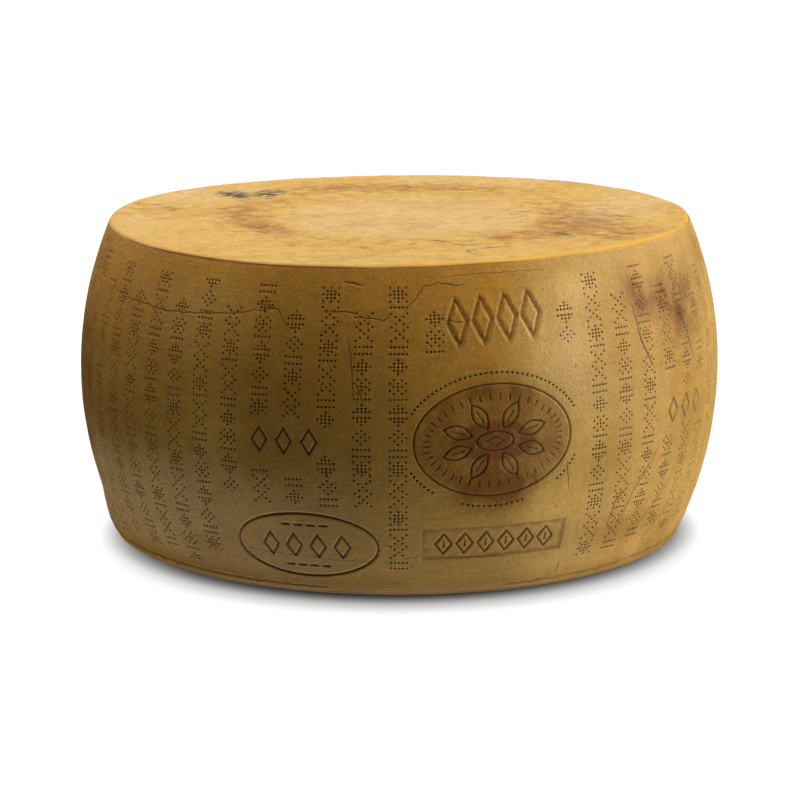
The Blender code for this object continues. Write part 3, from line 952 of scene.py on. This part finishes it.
def column_pins(rng):
    """Pins of the upright columns. A motif that would reach into a clear place is left out."""
    pins = []
    for column in range(PIN_COLUMNS):
        angle = wrapped(PIN_FIRST_ANGLE + column * 360.0 / PIN_COLUMNS)
        middle = BULGE_RADIUS * math.radians(angle)
        row = along_at(COLUMN_TOP - COLUMN_STAGGER[column % len(COLUMN_STAGGER)])
        foot = along_at(COLUMN_FOOT + COLUMN_FOOT_PLAY * rng.random())
        index = column * COLUMN_MOTIF_STEP
        motif = MOTIFS[index % len(MOTIFS)].split()
        while row - (len(motif) - 1) * PIN_ALONG > foot:
            spots = motif_spots(motif, middle, row, rng)
            if not any(kept_clear(spot) for spot in spots):
                pins.extend((*spot, *pin_size(spot, rng)) for spot in spots)
            row -= (len(motif) - 1 + MOTIF_GAP) * PIN_ALONG
            index += 1
            motif = MOTIFS[index % len(MOTIFS)].split()
    return pins


def pin_spot(middle, row, across, rng):
    """Place of a pin, with the slow warp of its column and a little jitter."""
    stretch = BULGE_RADIUS / side_radius(row)
    where = Vector((middle * COLUMN_WARP_SHARE, row, 0.0)) / COLUMN_WARP_LENGTH
    warp = COLUMN_WARP * noise.noise(where)
    column = middle + (across * PIN_ACROSS + warp + rng.gauss(0.0, PIN_JITTER)) * stretch
    return np.array([column, row + rng.gauss(0.0, PIN_JITTER)])


def pin_size(spot, rng):
    """Radius and depth of a pin, shallower in patches."""
    mean, patchy, play = PIN_STRENGTH
    least, share = PIN_RADIUS_SHARES
    where = Vector((spot[0], spot[1], 0.0)) / PIN_PATCH_LENGTH
    strength = mean + patchy * noise.noise(where) + rng.uniform(-play, play)
    return PIN_RADIUS * (least + share * strength), PIN_DEPTH * max(PIN_LEAST_DEPTH, strength)


def arc_pins():
    """Stretches of pins on a larger oval round the seal."""
    pins = []
    half = np.array(SEAL_SIZE) / 2.0 - ARC_INSET
    for first, last in ARC_STRETCHES:
        length = math.radians(last - first) * half.mean()
        count = int(length / ARC_PIN_STEP)
        for index in range(count + 1):
            turn = math.radians(first + (last - first) * index / count)
            spot = laid(SEAL_PLACE, [np.array([math.cos(turn), math.sin(turn)]) * half])[0]
            pins.append((*spot, *ARC_PIN_SIZE))
    return pins


def lattice(low, high, taken):
    """Spots of an even lattice, left out where marks or pins are near. The border stays whole."""
    rows = round((high - low) / LATTICE_STEP)
    seam = BULGE_RADIUS * math.radians(SEAM_ANGLE)
    pitch = 2.0 * math.pi * BULGE_RADIUS / COLUMNS
    spots = []
    for row in range(rows + 1):
        for column in range(COLUMNS + 1):
            fixed = row in (0, rows) or column in (0, COLUMNS)
            shift = 0.0 if fixed or row % 2 else 0.5
            spot = (seam + (column + shift) * pitch, low + (high - low) * row / rows)
            if fixed or taken.find((*spot, 0.0))[2] > PIN_CLEARANCE:
                spots.append(spot)
    return spots


def side_mesh(lines, plate, pins, low, high):
    """Unrolled spots and triangles of the side, and each spot's depth and tints."""
    spots = []
    edges = []
    for shape in lines + [plate]:
        for loop, closed in shape.loops():
            first = len(spots)
            spots.extend(map(tuple, loop))
            last = len(spots) - 1
            edges.extend((index, index + 1) for index in range(first, last))
            if closed:
                edges.append((last, first))
    fences = KDTree(len(spots))
    for index, spot in enumerate(spots):
        fences.insert((*spot, 0.0), index)
    fences.balance()
    for line in lines:
        reach = GUARD_CLEARANCE * line.width
        spots.extend(tuple(spot) for spot in line.guards() if fences.find((*spot, 0.0))[2] > reach)
    fence_count = len(spots)
    turns = [2.0 * math.pi * side / PIN_SIDES for side in range(PIN_SIDES)]
    centres = {}
    rims = set()
    for column, row, radius, depth in pins:
        stretch = BULGE_RADIUS / side_radius(row)
        centres[len(spots)] = depth
        spots.append((column, row))
        for turn in turns:
            rims.add(len(spots))
            spots.append((column + radius * stretch * math.cos(turn), row + radius * math.sin(turn)))
    taken = KDTree(fence_count + len(centres))
    for index in list(range(fence_count)) + list(centres):
        taken.insert((*spots[index], 0.0), index)
    taken.balance()
    spots.extend(lattice(low, high, taken))
    flat, _, triangles, origins, _, _ = delaunay_2d_cdt(
        [Vector(spot) for spot in spots], edges, [], 0, CDT_TOLERANCE
    )
    flat = np.array([tuple(spot) for spot in flat])
    depth = np.zeros(len(flat))
    tints = {kind: np.zeros(len(flat)) for kind in MARK_KINDS}
    for line in lines:
        deeper, share = line.press(flat)
        depth = np.where(abs(deeper) > abs(depth), deeper, depth)
        tints[line.kind] = np.maximum(tints[line.kind], share)
    depth += plate.press(flat)
    # The lower edge of the plate's bevel is darkened with the creases' tint: painted shade
    tints["crease_and_shade"] = np.maximum(tints["crease_and_shade"], plate.edge(flat))
    for index, sources in enumerate(origins):
        for source in sources:
            if source in centres:
                depth[index] += centres[source]
                tints["pit_and_contact_shade"][index] = min(1.0, centres[source] / PIN_DEPTH)
            elif source in rims:
                depth[index] -= PIN_LIP
    return flat, np.array(triangles), depth, tints


def edge_fillet(face_height, edge_radius, arc_radius, up):
    """Section of the round between the side's arc and a face, from the side inwards."""
    arc_axis = BULGE_RADIUS - SIDE_ARC_RADIUS
    centre_height = face_height - up * edge_radius
    start = math.asin((centre_height - BULGE_HEIGHT) / (arc_radius - edge_radius))
    centre_radius = arc_axis + (arc_radius - edge_radius) * math.cos(start)
    turns = np.linspace(start, up * math.pi / 2.0, EDGE_STEPS + 1)
    points = []
    for turn in turns:
        radius = centre_radius + edge_radius * math.cos(turn)
        points.append((radius, centre_height + edge_radius * math.sin(turn)))
    return points


def top_section():
    """Section of the rim and its slope, from the side inwards."""
    points = edge_fillet(WHEEL_HEIGHT, TOP_EDGE_RADIUS, SIDE_ARC_RADIUS, 1.0)
    crest = points[-1][0]
    for step in range(1, SLOPE_STEPS + 1):
        share = step / SLOPE_STEPS
        sink = FACE_SINK * (0.5 - 0.5 * math.cos(math.pi * share))
        points.append((crest - RIM_WIDTH * share, WHEEL_HEIGHT - sink))
    return points


class Builder:
    """Gathers points, triangles and tints of the whole wheel."""

    def __init__(self):
        self.points = []
        self.faces = []
        self.tints = {kind: [] for kind in TINTS}

    def add(self, points, faces, tints):
        first = sum(len(patch) for patch in self.points)
        self.points.append(points)
        self.faces.append(np.asarray(faces) + first)
        for kind, values in self.tints.items():
            values.append(tints.get(kind, np.zeros(len(points))))

    def mesh(self, name):
        data = bpy.data.meshes.new(name)
        data.from_pydata(np.concatenate(self.points).tolist(), [], np.concatenate(self.faces).tolist())
        for kind, values in self.tints.items():
            layer = data.attributes.new(kind, "FLOAT", "POINT")
            layer.data.foreach_set("value", np.concatenate(values).astype(np.float32))
        return data


def add_side(builder, low, high):
    lines = seal_lines() + figure_lines() + small_oval_lines() + plate_lines() + triple_lines()
    lines += crack_lines() + plain_cracks(random.Random(BACK_CRACK_SEED))
    plate = Plate(PLATE_PLACE, PLATE_SIZE, PLATE_DEPTH, PLATE_BEVEL)
    pins = column_pins(random.Random(PIN_SEED)) + arc_pins()
    flat, triangles, depth, tints = side_mesh(lines, plate, pins, low, high)
    angle = np.degrees(flat[:, 0] / BULGE_RADIUS)
    radius = side_radius(flat[:, 1])
    height = side_height(flat[:, 1])
    smooth = wheel_points(angle, radius, height)
    calm = np.clip(np.minimum(flat[:, 1] - low, high - flat[:, 1]) / SIDE_CALM, 0.0, 1.0)
    bumps = layered_noise(smooth, RIND_NOISE, SIDE_SEED) * calm
    tints.update(side_fields(angle, smooth[:, 2]))
    builder.add(wheel_points(angle, radius - depth + bumps, height), triangles, tints)


def ring_faces(rings, up):
    """Triangles between rings of COLUMNS points each."""
    faces = []
    for ring in range(rings - 1):
        for column in range(COLUMNS):
            after = (column + 1) % COLUMNS
            corners = (ring * COLUMNS + column, ring * COLUMNS + after,
                       (ring + 1) * COLUMNS + after, (ring + 1) * COLUMNS + column)
            corners = corners if up else corners[::-1]
            faces.append((corners[0], corners[1], corners[2]))
            faces.append((corners[0], corners[2], corners[3]))
    return faces


def crease_share(angle, up):
    """How far the creases of the edges show, pressed in and darkened as painted shadow lines: all round
    the foot, and in stretches under the rim.
    """
    if not up:
        return np.full(len(angle), FOOT_CREASE_SHADOW)
    share = np.zeros(len(angle))
    for middle, half, strength in RIM_CREASE_SHADOWS:
        away = abs(turned_by(angle, middle))
        share += strength * (1.0 - smooth_share(away, CREASE_FULL * half, half))
    return share


def ring_angles():
    return 360.0 * np.arange(COLUMNS) / COLUMNS + SEAM_ANGLE


def add_rings(builder, section, up, face_share, rim_share):
    """A turned strip for a section, with the share of each ring in the face and in the rim."""
    angle = np.tile(ring_angles(), len(section))
    creased = np.isin(np.arange(len(section)), CREASE_RINGS).astype(float)
    crease_and_shade = np.repeat(creased, COLUMNS) * crease_share(angle, up)
    radius = np.repeat([radius for radius, _ in section], COLUMNS) - CREASE_DEPTH * crease_and_shade
    height = np.repeat([height for _, height in section], COLUMNS)
    points = wheel_points(angle, radius, height)
    swell = np.repeat(np.sin(np.linspace(0.0, math.pi, len(section))), COLUMNS)
    bumps = layered_noise(points, EDGE_NOISE, EDGE_REACH_SEED) * swell
    points[:, :2] *= 1.0 + (bumps / BULGE_RADIUS)[:, None]
    # The rim's gold, with painted highlight in stretches
    gold = RIM_SHARES[0] + RIM_SHARES[1] * patches(angle, height, RIM_PAINTED_HIGHLIGHTS)
    tints = side_fields(angle, height)
    tints["face"] = np.repeat(face_share, COLUMNS)
    tints["rim"] = np.repeat(rim_share, COLUMNS) * gold
    # The creases of the edges are darkened with the cracks' tint: painted shadow lines
    tints["crack"] = crease_and_shade
    if up:
        points[:, 2] += layered_noise(points, EDGE_NOISE, EDGE_LIFT_SEED) * swell
        for kind, on_face in face_fields(points).items():
            tints[kind] = tints[kind] + (on_face - tints[kind]) * tints["face"]
    else:
        # Painted shade where the foot meets the floor, laid with the pins' tint
        tints["pit_and_contact_shade"] = CONTACT_SHADE * (1.0 - smooth_share(height, *CONTACT_DARK))
    builder.add(points, ring_faces(len(section), up), tints)


def add_disc(builder, radius, height, up, step, layers):
    """A flat face inside a ring, on an even lattice with slow bumps."""
    angle = np.radians(ring_angles())
    spots = [(radius * math.sin(turn), -radius * math.cos(turn)) for turn in angle]
    rows = int(radius / step / ROW_SHARE) + 1
    for row in range(-rows, rows + 1):
        for column in range(-rows, rows + 1):
            spot = ((column + 0.5 * (row % 2)) * step, row * step * ROW_SHARE)
            if math.hypot(*spot) < radius - step * DISC_MARGIN:
                spots.append(spot)
    flat, _, triangles, _, _, _ = delaunay_2d_cdt(
        [Vector(spot) for spot in spots], [], [], 0, CDT_TOLERANCE
    )
    flat = np.array([tuple(spot) for spot in flat])
    reach = np.hypot(flat[:, 0], flat[:, 1])
    turn = np.degrees(np.arctan2(flat[:, 0], -flat[:, 1]))
    points = wheel_points(turn, reach, np.full(len(flat), height))
    calm = np.clip((radius - reach) / DISC_CALM, 0.0, 1.0)
    points[:, 2] += layered_noise(points, layers, DISC_SEED) * calm
    faces = np.array(triangles)
    faces = faces if up else faces[:, ::-1]
    builder.add(points, faces, {"face": np.ones(len(points)), **face_fields(points)})


def build_wheel():
    top = top_section()
    foot = edge_fillet(0.0, BOTTOM_EDGE_RADIUS, SIDE_ARC_RADIUS - LEDGE_DEPTH, -1.0)
    high = along_at(top[0][1])
    low = along_at(foot[0][1])
    ledge = (float(side_radius(low)), float(side_height(low)))
    builder = Builder()
    add_side(builder, low, high)
    inward = np.arange(len(top)) / EDGE_STEPS
    face_share = smooth_share(inward, *FACE_START)
    rim_share = smooth_share(inward, *RIM_START) * (1.0 - smooth_share(inward, *RIM_END))
    add_rings(builder, top, True, face_share, rim_share)
    add_disc(builder, *top[-1], True, FACE_STEP, FACE_NOISE)
    plain = np.zeros(len(foot) + 1)
    add_rings(builder, [ledge] + foot, False, plain, plain)
    add_disc(builder, foot[-1][0], 0.0, False, FOOT_STEP, ())
    data = builder.mesh("wheel_rind")
    mesh = bmesh.new()
    mesh.from_mesh(data)
    bmesh.ops.remove_doubles(mesh, verts=mesh.verts, dist=WELD_DISTANCE)
    bmesh.ops.recalc_face_normals(mesh, faces=mesh.faces)
    for axis in (0, 1):
        values = [corner.co[axis] for corner in mesh.verts]
        shift = (min(values) + max(values)) / 2.0
        for corner in mesh.verts:
            corner.co[axis] -= shift
    mesh.to_mesh(data)
    mesh.free()
    data.shade_smooth()
    wheel = bpy.data.objects.new("wheel_rind", data)
    bpy.context.scene.collection.objects.link(wheel)
    return wheel


class Nodes:
    """Short calls for building a node tree."""

    def __init__(self, tree):
        self.tree = tree
        tree.nodes.clear()

    def put(self, kind, **settings):
        node = self.tree.nodes.new(kind)
        for name, value in settings.items():
            setattr(node, name, value)
        return node

    def feed(self, socket, value):
        """Link a socket to another, or set its own value."""
        if isinstance(value, bpy.types.NodeSocket):
            self.tree.links.new(value, socket)
        elif isinstance(value, tuple) and socket.type == "RGBA":
            socket.default_value = (*value, 1.0)
        else:
            socket.default_value = value

    def maths(self, operation, first, second):
        node = self.put("ShaderNodeMath", operation=operation)
        self.feed(node.inputs[0], first)
        self.feed(node.inputs[1], second)
        return node.outputs[0]

    def remap(self, value, low, high, start, end):
        """A value from low..high brought smoothly to start..end, and held there beyond."""
        node = self.put("ShaderNodeMapRange", interpolation_type="SMOOTHSTEP")
        for socket, setting in zip(node.inputs, (value, low, high, start, end)):
            self.feed(socket, setting)
        return node.outputs[0]

    def mix(self, share, first, second):
        node = self.put("ShaderNodeMix", data_type="RGBA")
        self.feed(node.inputs["Factor"], share)
        self.feed(node.inputs[6], first)
        self.feed(node.inputs[7], second)
        return node.outputs[2]

    def shade(self, colour, amount):
        """A colour made lighter or darker by an amount."""
        node = self.put("ShaderNodeVectorMath", operation="SCALE")
        self.feed(node.inputs[0], colour)
        self.feed(node.inputs["Scale"], amount)
        return node.outputs[0]

    def ranged(self, value, name):
        """A value brought from one range to another, as the table of ranges has it."""
        return self.remap(value, *RANGES[name])

    def tinted(self, colour, ink, value, name):
        """A colour with an ink over it, as strong as a range of the value says."""
        return self.mix(self.ranged(value, name), colour, ink)

    def noise(self, name, where):
        """A noise from the table of noises."""
        length, detail, roughness, distortion, *stretch = NOISES[name]
        if stretch:
            node = self.put("ShaderNodeMapping")
            self.feed(node.inputs["Vector"], where)
            self.feed(node.inputs["Scale"], stretch[0])
            where = node.outputs[0]
        node = self.put("ShaderNodeTexNoise")
        self.feed(node.inputs["Vector"], where)
        self.feed(node.inputs["Scale"], 1.0 / length)
        self.feed(node.inputs["Detail"], detail)
        self.feed(node.inputs["Roughness"], roughness)
        self.feed(node.inputs["Distortion"], distortion)
        return node.outputs[0]

    def length(self, value):
        node = self.put("ShaderNodeVectorMath", operation="LENGTH")
        self.feed(node.inputs[0], value)
        return node.outputs["Value"]

    def dab(self, where, place, size, turn):
        """1 in the middle of a small turned oval on the upper face, 0 outside it."""
        node = self.put("ShaderNodeMapping", vector_type="TEXTURE")
        self.feed(node.inputs["Vector"], where)
        self.feed(node.inputs["Location"], (*place, WHEEL_HEIGHT))
        self.feed(node.inputs["Rotation"], (0.0, 0.0, math.radians(turn)))
        self.feed(node.inputs["Scale"], (*size, DAB_DEPTH))
        return self.ranged(self.length(node.outputs[0]), "dab")

    def attribute(self, name):
        return self.put("ShaderNodeAttribute", attribute_name=name).outputs["Fac"]


def side_colour(nodes, noises):
    """Colour of the side: amber above, tan painted as light on the right, ashen low on the left, with its
    stains, painted sheen and painted shade towards the floor.
    """
    cloudy = nodes.ranged(noises["cloud"], "stain_cloud")
    broken = nodes.maths("ADD", cloudy, nodes.ranged(noises["smear"], "stain_smear"))
    stain_and_shade = nodes.maths("MULTIPLY", nodes.attribute("stain_and_shade"), broken)
    tone = nodes.maths("ADD", nodes.attribute("tone"), nodes.ranged(noises["blotch"], "tone_wave"))
    amber = nodes.maths("ADD", nodes.attribute("amber"), nodes.ranged(noises["cloud"], "amber_wave"))
    colour = nodes.mix(amber, DEEP_RIND, AMBER_RIND)
    colour = nodes.mix(tone, colour, TAN_PAINTED_LIGHT_RIND)
    colour = nodes.tinted(colour, WARM_RIND, noises["warm"], "warm")
    colour = nodes.mix(nodes.attribute("ashen"), colour, ASHEN_RIND)
    # Painted sheen
    colour = nodes.mix(nodes.attribute("painted_sheen_and_gloss"), colour, PAINTED_SHEEN_RIND)
    colour = nodes.mix(stain_and_shade, colour, BROWN_STAIN_AND_SHADE)
    colour = nodes.tinted(colour, DRY_RIND, noises["dry"], "dry")
    for name in ("mottle", "grain", "ripple"):
        colour = nodes.shade(colour, nodes.ranged(noises[name], "side_" + name))
    return colour


def face_colour(nodes, noises, where):
    """Colour of the upper face: gold with a pale disc, streaks, flecks, dust, painted glints and ink."""
    stain_and_shade = nodes.attribute("stain_and_shade")
    colour = nodes.mix(nodes.attribute("tone"), FACE_GOLD, FACE_PALE)
    colour = nodes.tinted(colour, FACE_ORANGE, noises["streak"], "streak")
    worn = nodes.maths("ADD", stain_and_shade, nodes.ranged(noises["fleck"], "fleck"))
    colour = nodes.tinted(colour, FACE_ORANGE, worn, "worn")
    dark = nodes.maths("ADD", noises["fleck"], nodes.maths("MULTIPLY", stain_and_shade, DARK_STAIN_SHARE))
    colour = nodes.tinted(colour, FACE_STAIN, dark, "dark")
    dusty = nodes.maths("MULTIPLY", nodes.attribute("ashen"), nodes.ranged(noises["bloom"], "dust"))
    bloomed = nodes.maths("ADD", nodes.ranged(noises["bloom"], "bloom"), dusty)
    colour = nodes.mix(bloomed, colour, FACE_BLOOM)
    # Painted glints
    lit = nodes.maths("MULTIPLY", nodes.ranged(noises["glint"], "glint"), nodes.attribute("painted_sheen_and_gloss"))
    colour = nodes.mix(lit, colour, PAINTED_GLINT_COLOUR)
    for place, size, turn, ink, strength in FACE_DABS:
        broken = nodes.remap(noises["mottle"], *DAB_BREAK, 0.0, strength)
        share = nodes.maths("MULTIPLY", nodes.dab(where, place, size, turn), broken)
        colour = nodes.mix(share, colour, ink)
    for name in ("mottle", "grain"):
        colour = nodes.shade(colour, nodes.ranged(noises[name], "face_" + name))
    return colour


def rind_colour(nodes, noises, where):
    """Colour of the whole rind, with its specks and marks, the painted highlight of the rim and the
    painted shade in creases, grooves and at the foot.
    """
    side = side_colour(nodes, noises)
    colour = nodes.mix(nodes.attribute("face"), side, face_colour(nodes, noises, where))
    gold = nodes.maths("MULTIPLY", nodes.attribute("rim"), RIM_GOLD_SHARE)
    # Rim gold, with its painted highlight
    colour = nodes.mix(gold, colour, RIM_GOLD)
    colour = nodes.tinted(colour, PALE_SPECK, noises["speck"], "pale_speck")
    colour = nodes.tinted(colour, BROWN_STAIN_AND_SHADE, noises["speck"], "brown_speck")
    for kind, low, high, strength, ink in MARK_TINTS:
        colour = nodes.mix(nodes.remap(nodes.attribute(kind), low, high, 0.0, strength), colour, ink)
    return colour


def new_shader(name):
    """A material with a fresh tree, its helper, its shader node and its own place as coordinates."""
    material = bpy.data.materials.new(name)
    material.use_nodes = True
    nodes = Nodes(material.node_tree)
    where = nodes.put("ShaderNodeTexCoord").outputs["Object"]
    shader = nodes.put("ShaderNodeBsdfPrincipled")
    output = nodes.put("ShaderNodeOutputMaterial")
    nodes.feed(output.inputs["Surface"], shader.outputs[0])
    return material, nodes, shader, where


def rind_material():
    material, nodes, shader, where = new_shader("rind")
    noises = {name: nodes.noise(name, where) for name in NOISES}
    patchy = nodes.ranged(noises["patch"], "ripple_patch")
    noises["ripple"] = nodes.maths("MULTIPLY", noises["ripple"], patchy)
    relief = zip(("grain", "mottle", "ripple"), BUMP_SHARES)
    layers = [nodes.maths("MULTIPLY", noises[name], share) for name, share in relief]
    bump = nodes.put("ShaderNodeBump")
    nodes.feed(bump.inputs["Strength"], BUMP_STRENGTH)
    nodes.feed(bump.inputs["Distance"], BUMP_DISTANCE)
    nodes.feed(bump.inputs["Height"], nodes.maths("ADD", nodes.maths("ADD", *layers[:2]), layers[2]))
    waxy = nodes.attribute("painted_sheen_and_gloss")
    dullness = nodes.ranged(noises["mottle"], "dullness")
    roughness = nodes.maths("SUBTRACT", dullness, nodes.ranged(waxy, "wax"))
    on_face = nodes.ranged(nodes.attribute("face"), "face_shine")
    shine = nodes.maths("MULTIPLY", nodes.ranged(waxy, "shine"), on_face)
    nodes.feed(shader.inputs["Base Color"], rind_colour(nodes, noises, where))
    nodes.feed(shader.inputs["Roughness"], roughness)
    nodes.feed(shader.inputs["Specular IOR Level"], shine)
    nodes.feed(shader.inputs["Normal"], bump.outputs[0])
    return material


def studio_material():
    """Plain pale floor that stays white away from the wheel, with a soft shadow painted into its emission
    near the wheel.
    """
    material, nodes, shader, where = new_shader("studio")
    shifted = nodes.put("ShaderNodeVectorMath", operation="ADD")
    nodes.feed(shifted.inputs[0], where)
    nodes.feed(shifted.inputs[1], (0.0, PAINTED_SHADOW_SHIFT, 0.0))
    # Painted shadow: the emission falls off near the wheel, furthest in front, and a narrower painted
    # contact shadow runs all round
    glow_with_painted_shadow = nodes.remap(nodes.length(shifted.outputs[0]), *PAINTED_SHADOW_REACH, *GLOW)
    painted_contact_shadow = nodes.remap(nodes.length(where), *CONTACT_SHADOW_REACH, *CONTACT_SHADOW_GLOW)
    nodes.feed(shader.inputs["Base Color"], (FLOOR_SHADE,) * 3)
    nodes.feed(shader.inputs["Roughness"], FLOOR_ROUGHNESS)
    nodes.feed(shader.inputs["Specular IOR Level"], 0.0)
    nodes.feed(shader.inputs["Emission Color"], (1.0, 1.0, 1.0))
    nodes.feed(shader.inputs["Emission Strength"], nodes.maths("MULTIPLY", glow_with_painted_shadow, painted_contact_shadow))
    material.cycles.emission_sampling = "NONE"
    return material


def add_studio():
    """A round floor that turns up into a wall. It lights nothing, so the lamps alone set the light."""
    flat_reach = STUDIO_RADIUS - STUDIO_BEND
    section = [(0.0, 0.0), (flat_reach, 0.0)]
    for step in range(1, STUDIO_BEND_STEPS + 1):
        turn = math.pi / 2.0 * step / STUDIO_BEND_STEPS
        reach = STUDIO_RADIUS - STUDIO_BEND * (1.0 - math.sin(turn))
        section.append((reach, STUDIO_BEND * (1.0 - math.cos(turn))))
    section.append((STUDIO_RADIUS, STUDIO_HEIGHT))
    mesh = bmesh.new()
    corners = [mesh.verts.new((reach, 0.0, height - FLOOR_GAP)) for reach, height in section]
    edges = [mesh.edges.new(pair) for pair in zip(corners, corners[1:])]
    bmesh.ops.spin(
        mesh, geom=corners + edges, axis=(0, 0, 1), cent=(0, 0, 0),
        angle=2.0 * math.pi, steps=STUDIO_STEPS, use_merge=True,
    )
    bmesh.ops.remove_doubles(mesh, verts=mesh.verts, dist=STUDIO_WELD)
    data = bpy.data.meshes.new("studio")
    mesh.to_mesh(data)
    mesh.free()
    data.shade_smooth()
    data.materials.append(studio_material())
    studio = bpy.data.objects.new("studio", data)
    studio.visible_diffuse = False
    studio.visible_glossy = False
    studio.visible_shadow = False
    bpy.context.scene.collection.objects.link(studio)


def add_lamp(name, place, size, power):
    lamp = bpy.data.lights.new(name, "AREA")
    lamp.shape = "RECTANGLE"
    lamp.size, lamp.size_y = size
    lamp.energy = power
    lamp.specular_factor = 0.0 if name in DULL_LAMPS else 1.0
    holder = bpy.data.objects.new(name, lamp)
    holder.location = place
    way = Vector(LAMP_TARGET) - Vector(place)
    holder.rotation_euler = way.to_track_quat("-Z", "Y").to_euler()
    bpy.context.scene.collection.objects.link(holder)


def add_lights():
    for name, place, size, power in LAMPS:
        add_lamp(name, place, size, power)
    world = bpy.data.worlds.new("bounce")
    world.use_nodes = True
    nodes = Nodes(world.node_tree)
    where = nodes.put("ShaderNodeTexCoord").outputs["Generated"]
    split = nodes.put("ShaderNodeSeparateXYZ")
    nodes.feed(split.inputs[0], where)
    sky = nodes.put("ShaderNodeBackground")
    nodes.feed(sky.inputs["Color"], BOUNCE_COLOUR)
    nodes.feed(sky.inputs["Strength"], nodes.remap(split.outputs["Z"], *BOUNCE_RISE, *BOUNCE))
    output = nodes.put("ShaderNodeOutputWorld")
    nodes.feed(output.inputs["Surface"], sky.outputs[0])
    bpy.context.scene.world = world


def add_camera():
    data = bpy.data.cameras.new("camera")
    data.lens = CAMERA_LENS
    data.sensor_width = SENSOR_WIDTH
    camera = bpy.data.objects.new("camera", data)
    aim = Matrix.Rotation(math.radians(90.0 - CAMERA_PITCH), 4, "X")
    roll = Matrix.Rotation(math.radians(-CAMERA_ROLL), 4, "Z")
    place = Matrix.Translation((CAMERA_SIDE, -CAMERA_DISTANCE, CAMERA_HEIGHT))
    camera.matrix_world = place @ aim @ roll
    bpy.context.scene.collection.objects.link(camera)
    bpy.context.scene.camera = camera


bpy.context.scene.view_settings.view_transform = "Standard"
add_camera()
wheel = build_wheel()
wheel.data.materials.append(rind_material())
normals = wheel.modifiers.new("level_normals", "WEIGHTED_NORMAL")
normals.mode = "FACE_AREA"
normals.weight = 50
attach(wheel, "root")
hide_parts("cheese_wheel")
add_studio()
add_lights()
